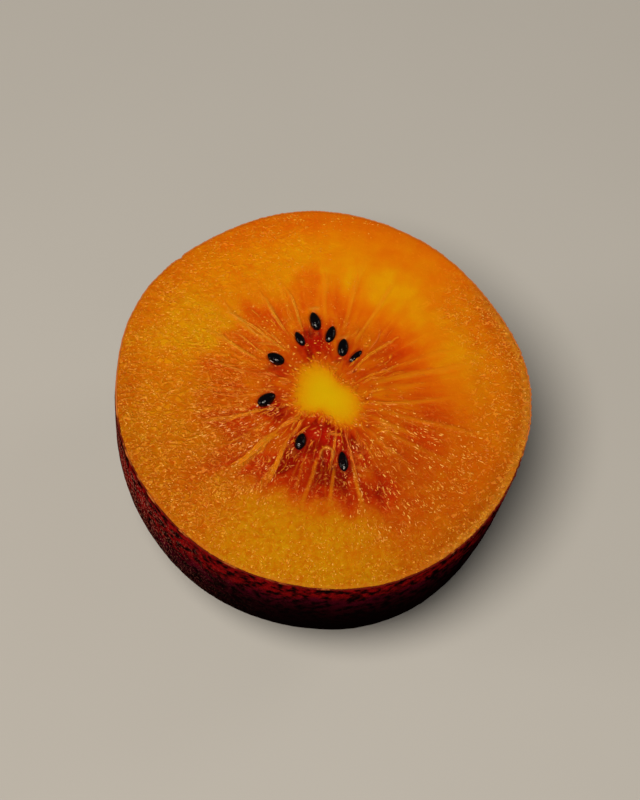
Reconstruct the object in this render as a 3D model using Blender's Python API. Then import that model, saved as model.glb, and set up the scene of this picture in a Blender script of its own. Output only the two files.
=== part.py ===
"""Half of a golden kiwifruit, cut across its middle and standing with the cut face up.

The fruit is one solid: skin, flesh and core have grown together. Its form is a stack of
level sections. Each section is the uneven oval of the cut face, drawn in by the fruit's
profile and leaning a little to one side, as the real fruit grows. It stands on the small
flat of its stem end. Sizes are in metres, +Z is up, and the origin is on the ground under
the middle of the fruit's box.
"""

import math

import bmesh
import bpy
import numpy as np

MM = 0.001

# The cut face.
FACE_RADIUS = 25.285 * MM  # mean radius of the cut
# How far the outline stands out from a circle: (waves round the cut, height, direction of a crest in degrees).
FACE_WAVES = (
    (1, 0.172 * MM, -162.4),
    (2, 0.797 * MM, -60.2),
    (3, 0.047 * MM, 10.4),
    (4, 0.103 * MM, -1.2),
    (5, 0.137 * MM, 5.1),
    (7, 0.066 * MM, -5.2),
    (8, 0.055 * MM, 11.3),
)
FACE_CROWN = 0.30 * MM  # the wet flesh stands this proud in the middle of the cut
RIM_ROUND = 0.22 * MM  # rounding where the knife met the skin

# The body below the cut.
DEPTH = 30.735 * MM  # from the cut to where the rounded end would close
FOOT_TRIM = 0.80 * MM  # flattened off the end, so that the half stands
PROFILE_POWER = 3.0  # how blunt the end is: 2 is an ellipse
LEAN_X = -3.23 * MM  # sideways lean of the end
LEAN_Y = -0.55 * MM
# Swellings half way down: (waves round the fruit, share of the radius, direction of a crest in degrees).
SWELLINGS = (
    (2, 0.0047, -60.5),
    (3, 0.0140, 43.3),
    (4, 0.0101, 40.0),
)

SEGMENTS = 72
BODY_LEVELS = 26
FACE_RINGS = (0.975, 0.90, 0.78, 0.62, 0.45, 0.28, 0.12)

FLESH_COLOUR = (0.60, 0.17, 0.006, 1.0)


def outline(angle):
    """Distance from the cut's middle to its edge in this direction."""
    return FACE_RADIUS + sum(
        height * math.cos(waves * (angle - math.radians(crest)))
        for waves, height, crest in FACE_WAVES
    )


def profile(t):
    """Share of the cut's outline that is left at the depth t, from 0 at the cut to 1 at the end."""
    return math.sqrt(max(0.0, 1.0 - t**PROFILE_POWER))


def swelling(angle, t):
    around = sum(
        share * math.cos(waves * (angle - math.radians(crest)))
        for waves, share, crest in SWELLINGS
    )
    return 1.0 + 4.0 * t * (1.0 - t) * around


def section(t):
    """One level section of the skin, as (x, y) points."""
    drawn_in = profile(t)
    points = []
    for i in range(SEGMENTS):
        angle = 2.0 * math.pi * i / SEGMENTS
        reach = outline(angle) * drawn_in * swelling(angle, t)
        points.append(
            (
                reach * math.cos(angle) + LEAN_X * t,
                reach * math.sin(angle) + LEAN_Y * (1.0 - drawn_in),
            )
        )
    return points


def levels():
    """Depths of the sections from the foot up to the cut, closer together where the end turns under."""
    foot = 1.0 - FOOT_TRIM / DEPTH
    turn = math.acos(profile(foot))
    found = []
    for i in range(BODY_LEVELS):
        a = turn * (1.0 - i / (BODY_LEVELS - 1))
        found.append((1.0 - math.cos(a) ** 2) ** (1.0 / PROFILE_POWER))
    return found


def crown(share):
    """Height of the cut face at this share of the way from its middle to its edge."""
    return FACE_CROWN * (1.0 - share**4)


def rings():
    """Every ring of the solid from the foot, up the skin, over the rim and in across the cut."""
    height = DEPTH - FOOT_TRIM
    made = []
    depths = levels()
    for t in depths:
        z = height - DEPTH * t
        if t == depths[-1]:
            z -= RIM_ROUND
        made.append([(x, y, z) for x, y in section(t)])
    edge = section(0.0)
    inset = 1.0 - RIM_ROUND / FACE_RADIUS
    made.append([(x * inset, y * inset, height) for x, y in edge])
    for share in FACE_RINGS:
        made.append([(x * share, y * share, height + crown(share)) for x, y in edge])
    return made


def centred(made):
    """The rings moved so that the middle of their box is over the origin, with the foot on the ground."""
    points = np.array(made)
    low, high = points.min(axis=(0, 1)), points.max(axis=(0, 1))
    shift = np.array([(low[0] + high[0]) / 2, (low[1] + high[1]) / 2, low[2]])
    return points - shift


def flesh_material():
    material = bpy.data.materials.new("kiwi_flesh")
    material.use_nodes = True
    shader = material.node_tree.nodes["Principled BSDF"]
    shader.inputs["Base Color"].default_value = FLESH_COLOUR
    shader.inputs["Roughness"].default_value = 0.35
    shader.inputs["Metallic"].default_value = 0.0
    return material


def build_half():
    made = centred(rings())
    bm = bmesh.new()
    circle = bmesh.ops.create_circle(
        bm, cap_ends=False, segments=SEGMENTS, radius=FACE_RADIUS
    )
    ring = sorted(
        circle["verts"], key=lambda v: math.atan2(v.co.y, v.co.x) % (2.0 * math.pi)
    )
    for vert, point in zip(ring, made[0]):
        vert.co = point
    foot = bm.faces.new(reversed(ring))
    foot.normal_update()
    for points in made[1:]:
        edges = [
            bm.edges.get((ring[i], ring[(i + 1) % SEGMENTS])) for i in range(SEGMENTS)
        ]
        new = bmesh.ops.extrude_edge_only(bm, edges=edges)["geom"]
        fresh = {v for v in new if isinstance(v, bmesh.types.BMVert)}
        raised = []
        for vert in ring:
            raised.append(
                next(
                    e.other_vert(vert)
                    for e in vert.link_edges
                    if e.other_vert(vert) in fresh
                )
            )
        for vert, point in zip(raised, points):
            vert.co = point
        ring = raised
    middle = bm.faces.new(ring)
    poked = bmesh.ops.poke(bm, faces=[middle])["verts"][0]
    poked.co.z = made[-1][0][2]
    bmesh.ops.recalc_face_normals(bm, faces=bm.faces)

    mesh = bpy.data.meshes.new("kiwi_half")
    bm.to_mesh(mesh)
    bm.free()
    mesh.shade_smooth()
    mesh.set_sharp_from_angle(angle=math.radians(35.0))
    mesh.materials.append(flesh_material())
    half = bpy.data.objects.new("kiwi_half", mesh)
    bpy.context.scene.collection.objects.link(half)
    return half


def main():
    for obj in list(bpy.data.objects):
        bpy.data.objects.remove(obj, do_unlink=True)
    build_half()


main()
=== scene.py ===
"""Looks of half a golden kiwifruit, cut across and standing cut face up.

The CAD solid is replaced by its real layers: a solid body of flesh whose cut face carries the
core, the fibres, the juice cells and the seed pockets as relief, a thin skin, and nine seeds.
Lengths in the lists below are millimetres, and directions are degrees.
"""

import math

import bpy
import numpy as np
from mathutils import Matrix, Vector


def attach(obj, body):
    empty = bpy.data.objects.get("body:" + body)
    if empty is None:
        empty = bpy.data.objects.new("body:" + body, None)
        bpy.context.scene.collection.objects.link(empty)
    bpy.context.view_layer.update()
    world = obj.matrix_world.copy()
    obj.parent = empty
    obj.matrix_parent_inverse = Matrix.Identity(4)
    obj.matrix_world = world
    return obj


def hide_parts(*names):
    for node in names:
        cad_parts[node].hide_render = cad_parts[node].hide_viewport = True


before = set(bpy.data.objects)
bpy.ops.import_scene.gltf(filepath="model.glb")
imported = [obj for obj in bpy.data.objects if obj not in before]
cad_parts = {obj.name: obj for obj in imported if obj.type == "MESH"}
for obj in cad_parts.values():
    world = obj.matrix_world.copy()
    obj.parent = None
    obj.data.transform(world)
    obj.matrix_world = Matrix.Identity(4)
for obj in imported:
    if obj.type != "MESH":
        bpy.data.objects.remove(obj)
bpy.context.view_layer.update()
MM = 0.001

# ---------------------------------------------------------------- the form, as in the CAD solid
FACE_RADIUS = 25.285
FACE_WAVES = ((1, 0.172, -162.4), (2, 0.797, -60.2), (3, 0.047, 10.4), (4, 0.103, -1.2), (5, 0.137, 5.1), (7, 0.066, -5.2), (8, 0.055, 11.3))
FACE_CROWN = 0.30
DEPTH = 30.735
FOOT_TRIM = 0.80
PROFILE_POWER = 3.0
LEAN_X = -3.23
LEAN_Y = -0.55
SWELLINGS = ((2, 0.0047, -60.5), (3, 0.0140, 43.3), (4, 0.0101, 40.0))
CUT_Z = DEPTH - FOOT_TRIM


def outline(a):
    return FACE_RADIUS + sum(h * np.cos(w * (a - math.radians(c))) for w, h, c in FACE_WAVES)


def profile(t):
    return np.sqrt(np.maximum(0.0, 1.0 - t**PROFILE_POWER))


def swelling(a, t):
    around_it = sum(s * np.cos(w * (a - math.radians(c))) for w, s, c in SWELLINGS)
    return 1.0 + 4.0 * t * (1.0 - t) * around_it


def section(a, t, inset=0.0):
    """Points of the skin at the directions a and the depth t, drawn in by inset."""
    drawn = profile(t)
    reach = outline(a) * drawn * swelling(a, t) - inset
    return reach * np.cos(a) + LEAN_X * t, reach * np.sin(a) + LEAN_Y * (1.0 - drawn)


def find_shift():
    """The CAD centres its box over the origin, so the same is worked out here."""
    a = 2.0 * math.pi * np.arange(72) / 72
    foot = 1.0 - FOOT_TRIM / DEPTH
    turn = math.acos(float(profile(foot)))
    xs, ys = [], []
    for i in range(26):
        t = (1.0 - math.cos(turn * (1.0 - i / 25)) ** 2) ** (1.0 / PROFILE_POWER)
        x, y = section(a, t)
        xs += [x.min(), x.max()]
        ys += [y.min(), y.max()]
    return (min(xs) + max(xs)) / 2.0, (min(ys) + max(ys)) / 2.0


SHIFT_X, SHIFT_Y = find_shift()
# The middle of the outline in the face's own measure, whose zero is under the middle of the view.
FACE_AT = (0.053, 1.173)


def to_row(x, y, z):
    """From the outline's own frame (mm, z up from the foot) to the row frame in metres."""
    return np.stack([(x - SHIFT_X), (y - SHIFT_Y), z + 0.0 * x], -1) * MM


# ---------------------------------------------------------------- noise
def scatter(ix, iy, seed):
    """A repeatable number from 0 to 1 for each whole-number place."""
    n = (ix.astype(np.int64) * 374761393 + iy.astype(np.int64) * 668265263 + seed * 974634777) & 0xFFFFFFFF
    n = ((n ^ (n >> 13)) * 1274126177) & 0xFFFFFFFF
    n = ((n ^ (n >> 16)) * 2246822519) & 0xFFFFFFFF
    return (n ^ (n >> 15)) / 4294967296.0


def ease(f):
    return f * f * f * (f * (f * 6.0 - 15.0) + 10.0)


def noise(x, y, seed):
    """Smooth noise from -1 to 1 whose lumps are about one unit across."""
    x, y = np.asarray(x, float), np.asarray(y, float)
    ix, iy = np.floor(x), np.floor(y)
    fx, fy = x - ix, y - iy
    total = 0.0
    for dx in (0, 1):
        for dy in (0, 1):
            turn = scatter(ix + dx, iy + dy, seed) * 2.0 * math.pi
            wx = ease(fx) if dx else 1.0 - ease(fx)
            wy = ease(fy) if dy else 1.0 - ease(fy)
            total = total + wx * wy * (np.cos(turn) * (fx - dx) + np.sin(turn) * (fy - dy))
    return total * 1.5


def rough(x, y, seed, octaves=4, gain=0.5):
    total, height, size = 0.0, 1.0, 0.0
    for k in range(octaves):
        total = total + height * noise(x * 2.0**k, y * 2.0**k, seed + 17 * k)
        size += height
        height *= gain
    return total / size


def around(a, r, seed, across, along):
    """Noise in polar form without a seam: across lumps in the whole turn, along lumps per mm outwards."""
    turns = a / (2.0 * math.pi) * across
    ix = np.floor(turns)
    fx = turns - ix
    v = r * along
    iy = np.floor(v)
    fy = v - iy
    total = 0.0
    for dx in (0, 1):
        for dy in (0, 1):
            turn = scatter(np.mod(ix + dx, across), iy + dy, seed) * 2.0 * math.pi
            wx = ease(fx) if dx else 1.0 - ease(fx)
            wy = ease(fy) if dy else 1.0 - ease(fy)
            total = total + wx * wy * (np.cos(turn) * (fx - dx) + np.sin(turn) * (fy - dy))
    return total * 1.5


def cells(x, y, seed, wrap=None):
    """Distance to the nearest of the scattered cell middles, to the second nearest, and that cell's own number."""
    ix, iy = np.floor(x), np.floor(y)
    first = np.full(np.shape(x), 9.0)
    second = np.full(np.shape(x), 9.0)
    own = np.zeros(np.shape(x))
    for dx in (-1, 0, 1):
        for dy in (-1, 0, 1):
            jx, jy = ix + dx, iy + dy
            kx = np.mod(jx, wrap) if wrap else jx
            px = jx + 0.5 + 0.8 * (scatter(kx, jy, seed) - 0.5)
            py = jy + 0.5 + 0.8 * (scatter(kx, jy, seed + 1) - 0.5)
            d = np.hypot(x - px, y - py)
            nearer = d < first
            second = np.where(nearer, first, np.minimum(second, d))
            own = np.where(nearer, scatter(kx, jy, seed + 2), own)
            first = np.where(nearer, d, first)
    return first, second, own


def step(low, high, value):
    t = np.clip((value - low) / (high - low), 0.0, 1.0)
    return t * t * (3.0 - 2.0 * t)


def bell(value):
    return np.exp(-value * value)


def turned(a, b):
    """The turn from direction b to direction a, in degrees, from -180 to 180."""
    return (a - b + 180.0) % 360.0 - 180.0


# ---------------------------------------------------------------- the cut, in mm and degrees about the core's middle
CORE_AT = (0.8, 1.0)

# The core's uneven, two-lobed edge: its middle, mean radius, and (waves round it, height, direction of a crest).
CORE_MIDDLE = (0.60, 0.55)
CORE_MEAN = 3.58
CORE_WAVES = ((1, 0.26, 141.0), (2, 0.95, -38.0), (3, 0.38, -29.0), (4, 0.28, 28.0))

# Seeds: (x, y, length, width, direction of the pointed end, how deep it lies, how dull).
SEEDS = (
    (-0.90, 11.00, 2.50, 1.42, 102.0, 0.02, 0.15),
    (-2.75, 8.60, 2.10, 1.05, 115.0, 0.10, 0.25),
    (1.00, 9.15, 2.40, 1.28, 72.0, 0.04, 0.10),
    (2.50, 7.30, 2.40, 1.42, 80.0, -0.04, 0.0),
    (4.05, 6.20, 2.15, 0.90, 47.0, 0.12, 0.2),
    (-5.65, 5.80, 2.25, 1.50, 148.0, -0.04, 0.0),
    (-6.70, 0.20, 2.40, 1.60, 28.0, 0.00, 0.15),
    (-2.60, -5.35, 2.25, 1.40, 72.0, 0.22, 1.0),
    (2.45, -8.00, 2.70, 1.25, 96.0, 0.20, 0.9),
)

# Red wedges: (direction, half width in degrees, from radius, to radius, softness out, strength).
REDS = (
    (-101.0, 30.0, 2.8, 13.3, 0.9, 0.95),
    (-75.0, 12.0, 12.8, 14.8, 0.8, 0.55),
    (-106.0, 9.0, 12.9, 14.2, 0.7, 0.45),
    (-112.0, 20.0, 4.2, 8.2, 0.8, 0.50),
    (-72.0, 12.0, 6.0, 10.6, 0.8, 0.60),
    (-92.0, 9.0, 8.8, 11.6, 0.7, 0.45),
    (-120.0, 9.0, 7.4, 11.4, 0.8, 0.40),
    (-158.0, 14.0, 5.6, 8.6, 0.8, 0.35),
    (-60.0, 9.0, 12.5, 19.5, 1.5, 0.20),
    (-163.0, 12.0, 9.5, 14.8, 1.0, 0.14),
    (105.0, 14.0, 4.6, 8.4, 0.8, 0.35),
    (150.0, 12.0, 5.6, 8.2, 0.8, 0.30),
    (6.0, 14.0, 9.5, 11.8, 1.0, 0.15),
    (-101.0, 15.0, 4.2, 7.2, 1.0, 0.75),
    (-113.0, 6.5, 7.0, 11.5, 1.5, 0.55),
    (-85.0, 8.0, 7.8, 12.2, 1.2, 0.40),
    (-97.0, 3.0, 9.3, 12.5, 0.8, 0.35),
    (-67.0, 10.0, 11.6, 16.0, 1.0, 0.50),
    (-70.0, 11.0, 5.6, 9.5, 1.2, 0.45),
    (107.0, 21.0, 5.2, 9.0, 1.1, 0.85),
    (105.0, 10.0, 6.2, 8.6, 0.8, 0.45),
    (101.0, 6.5, 11.5, 17.0, 1.2, 0.38),
    (83.0, 5.5, 10.5, 14.4, 1.0, 0.25),
    (82.0, 14.0, 4.4, 6.6, 0.8, 0.45),
    (153.0, 7.0, 6.3, 8.4, 0.8, 0.50),
    (124.0, 7.0, 11.5, 15.5, 1.4, 0.22),
    (131.0, 5.5, 11.8, 15.4, 1.0, 0.27),
    (143.0, 4.5, 10.6, 15.2, 0.8, 0.26),
    (172.0, 11.0, 10.5, 14.8, 1.5, 0.30),
    (-157.0, 9.0, 10.5, 14.6, 1.2, 0.28),
    (-160.0, 13.0, 5.2, 8.3, 0.9, 0.62),
    (-140.0, 12.0, 4.6, 8.0, 1.4, 0.28),
    (-145.0, 6.0, 12.5, 19.0, 2.5, 0.32),
    (-130.0, 6.5, 10.5, 14.8, 1.2, 0.42),
    (32.0, 19.0, 7.6, 13.0, 1.8, 0.36),
    (33.0, 6.0, 8.5, 11.5, 1.0, 0.22),
    (60.0, 10.0, 4.4, 6.6, 0.8, 0.40),
    (0.0, 8.0, 6.0, 7.6, 0.6, -0.20),
    (76.0, 10.0, 4.6, 7.6, 0.6, -0.26),
    (97.0, 13.0, 6.0, 8.6, 0.6, -0.20),
    (30.0, 8.0, 4.4, 8.8, 0.6, 0.15),
    (120.0, 8.0, 4.4, 5.7, 0.5, 0.42),
    (120.0, 8.0, 6.0, 7.4, 0.5, -0.18),
    (165.0, 8.0, 4.4, 5.8, 0.5, -0.32),
    (165.0, 9.0, 5.9, 8.9, 0.6, 0.12),
    (166.0, 9.0, 9.8, 13.0, 0.8, -0.15),
    (-172.0, 14.0, 4.6, 8.6, 0.6, 0.26),
    (-150.0, 22.0, 8.0, 15.5, 1.2, 0.14),
    (-137.0, 8.0, 8.6, 14.6, 0.8, 0.10),
    (-120.0, 8.0, 8.8, 10.6, 0.5, 0.35),
    (-88.0, 14.0, 8.4, 11.6, 0.6, 0.40),
    (-72.0, 10.0, 5.0, 8.0, 0.6, 0.30),
    (30.0, 8.0, 16.8, 19.4, 0.8, 0.10),
    (40.0, 26.0, 3.2, 5.0, 0.9, 0.30),
    (-12.0, 7.0, 10.6, 14.8, 1.5, 0.30),
    (-29.0, 6.5, 11.2, 15.4, 1.5, 0.28),
    (-45.0, 27.0, 9.5, 22.5, 4.0, 0.30),
    (-15.0, 20.0, 10.0, 17.5, 3.0, 0.16),
    (-165.0, 8.0, 4.4, 6.8, 0.8, 0.32),
    (-163.0, 9.0, 9.0, 14.5, 1.5, 0.14),
    (-150.0, 8.0, 6.8, 9.8, 0.8, 0.25),
    (-135.0, 8.0, 11.2, 14.4, 0.8, 0.26),
    (-120.0, 7.0, 5.2, 6.8, 0.6, 0.38),
    (-120.0, 7.0, 8.2, 11.0, 0.7, 0.32),
    (-120.0, 7.0, 11.5, 12.8, 0.5, -0.20),
    (-105.0, 8.0, 4.0, 8.2, 0.8, 0.42),
    (-105.0, 8.0, 8.2, 12.6, 0.8, 0.20),
    (-90.0, 8.0, 4.0, 6.6, 0.8, 0.45),
    (-90.0, 8.0, 8.2, 11.2, 0.8, 0.42),
    (-90.0, 8.0, 13.0, 14.2, 0.5, -0.20),
    (-75.0, 8.0, 5.2, 9.8, 0.8, 0.27),
    (-60.0, 7.0, 5.4, 9.6, 0.8, 0.25),
    (0.0, 8.0, 4.0, 6.6, 0.6, -0.20),
    (15.0, 8.0, 6.8, 8.2, 0.5, 0.15),
    (45.0, 8.0, 5.4, 8.0, 0.7, -0.33),
    (45.0, 8.0, 9.8, 12.6, 0.8, 0.18),
    (60.0, 8.0, 5.4, 7.8, 0.7, -0.22),
    (75.0, 8.0, 4.2, 6.6, 0.7, -0.22),
    (90.0, 8.0, 5.4, 8.2, 0.7, -0.30),
    (90.0, 8.0, 9.8, 11.2, 0.6, -0.16),
    (90.0, 9.0, 16.5, 22.5, 1.2, 0.17),
    (105.0, 8.0, 4.2, 6.6, 0.6, -0.22),
    (105.0, 8.0, 9.8, 13.8, 0.8, -0.18),
    (120.0, 8.0, 12.8, 14.6, 0.6, 0.19),
    (30.0, 9.0, 21.5, 26.0, 1.0, 0.16),
)
# Yellow zones of the outer flesh, in the same form.
YELLOWS = (
    (152.0, 17.0, 14.5, 25.0, 3.0, 0.42),
    (152.0, 6.0, 16.5, 20.0, 1.5, 0.22),
    (63.0, 10.0, 12.5, 18.5, 2.0, 0.30),
    (88.0, 14.0, 15.5, 20.5, 2.0, 0.16),
    (-100.0, 31.0, 15.0, 28.0, 1.6, 0.62),
    (-90.0, 7.0, 18.0, 23.5, 2.0, 0.16),
    (-108.0, 8.0, 17.5, 23.5, 2.0, 0.18),
    (-172.0, 18.0, 16.5, 24.5, 2.5, 0.18),
    (30.0, 25.0, 14.5, 20.0, 2.5, 0.10),
    (42.0, 30.0, 11.0, 18.0, 1.6, 0.50),
    (58.0, 16.0, 13.2, 16.5, 1.2, 0.28),
    (72.0, 12.0, 12.5, 19.0, 1.5, 0.50),
    (98.0, 20.0, 13.5, 22.0, 2.0, 0.55),
    (140.0, 28.0, 15.5, 24.5, 2.0, 0.30),
    (8.0, 18.0, 13.2, 18.5, 1.5, 0.30),
)

# Pale fibres: (direction, radius where it starts, direction and radius where it ends, width in mm, strength).
FIBRES = (
    (65.0, 8.0, 62.0, 17.5, 0.42, 1.0),
    (79.0, 8.5, 76.5, 19.0, 0.55, 0.55),
    (92.5, 11.0, 91.0, 17.5, 0.55, 0.50),
    (113.0, 11.0, 112.0, 18.0, 0.45, 0.35),
    (122.0, 11.5, 121.0, 18.5, 0.45, 0.35),
    (137.0, 10.5, 137.8, 17.5, 0.60, 0.75),
    (151.0, 10.0, 150.0, 17.0, 0.50, 0.50),
    (14.0, 5.5, 13.0, 18.5, 0.66, 0.72),
    (24.0, 9.5, 21.0, 16.5, 0.60, 0.40),
    (6.5, 6.0, 5.5, 12.0, 0.45, 0.40),
    (-2.5, 14.5, -13.0, 5.0, 0.40, 0.65),
    (-20.5, 6.5, -17.0, 19.0, 0.50, 0.50),
    (-31.0, 6.0, -29.5, 12.5, 0.50, 0.60),
    (-38.0, 7.0, -33.0, 17.0, 0.50, 0.50),
    (-47.0, 6.0, -46.0, 15.0, 0.40, 0.40),
    (-72.5, 8.0, -76.5, 16.5, 0.42, 0.90),
    (-86.0, 8.6, -89.8, 15.0, 0.36, 0.85),
    (-100.0, 8.8, -102.2, 16.0, 0.42, 0.70),
    (-108.5, 9.6, -107.0, 14.0, 0.30, 0.35),
    (-125.5, 9.6, -122.5, 15.5, 0.42, 0.70),
    (-139.0, 9.0, -136.5, 16.5, 0.62, 0.80),
    (-151.5, 8.0, -150.5, 16.0, 0.32, 0.35),
    (-164.0, 8.6, -166.0, 16.5, 0.42, 0.80),
    (-171.0, 10.5, -172.5, 16.5, 0.35, 0.45),
    (178.5, 9.0, 177.0, 16.0, 0.40, 0.35),
)


def wedge(a, r, rows):
    """Sum of soft-edged wedges."""
    total = 0.0
    for direction, half, low, high, soft, strength in rows:
        side = step(1.15, 0.55, np.abs(turned(a, direction)) / half)
        total = total + strength * side * step(low - 0.6 * soft, low + 0.6 * soft, r) * step(high + soft, high - soft, r)
    return total


def fibre(a, r, row):
    """How much of one fibre is here."""
    a0, r0, a1, r1, width, strength = row
    if r0 > r1:
        a0, r0, a1, r1 = a1, r1, a0, r0
    t = (r - r0) / (r1 - r0)
    line = a0 + turned(a1, a0) * t + 0.45 * np.sin(r * 0.7 + a0)
    off = np.radians(turned(a, line)) * r
    spread = 0.74 * width * (0.55 + 0.5 * np.clip(t, 0.0, 1.0))
    return strength * bell((off / spread) ** 2) * step(-0.08, 0.1, t) * step(1.12, 0.7, t)


def core_field(x, y):
    """Below 1 inside the core, above it outside."""
    dx, dy = x - CORE_MIDDLE[0], y - CORE_MIDDLE[1]
    turn = np.arctan2(dy, dx)
    edge = CORE_MEAN + sum(h * np.cos(w * (turn - math.radians(c))) for w, h, c in CORE_WAVES)
    return np.hypot(dx, dy) / edge


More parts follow.
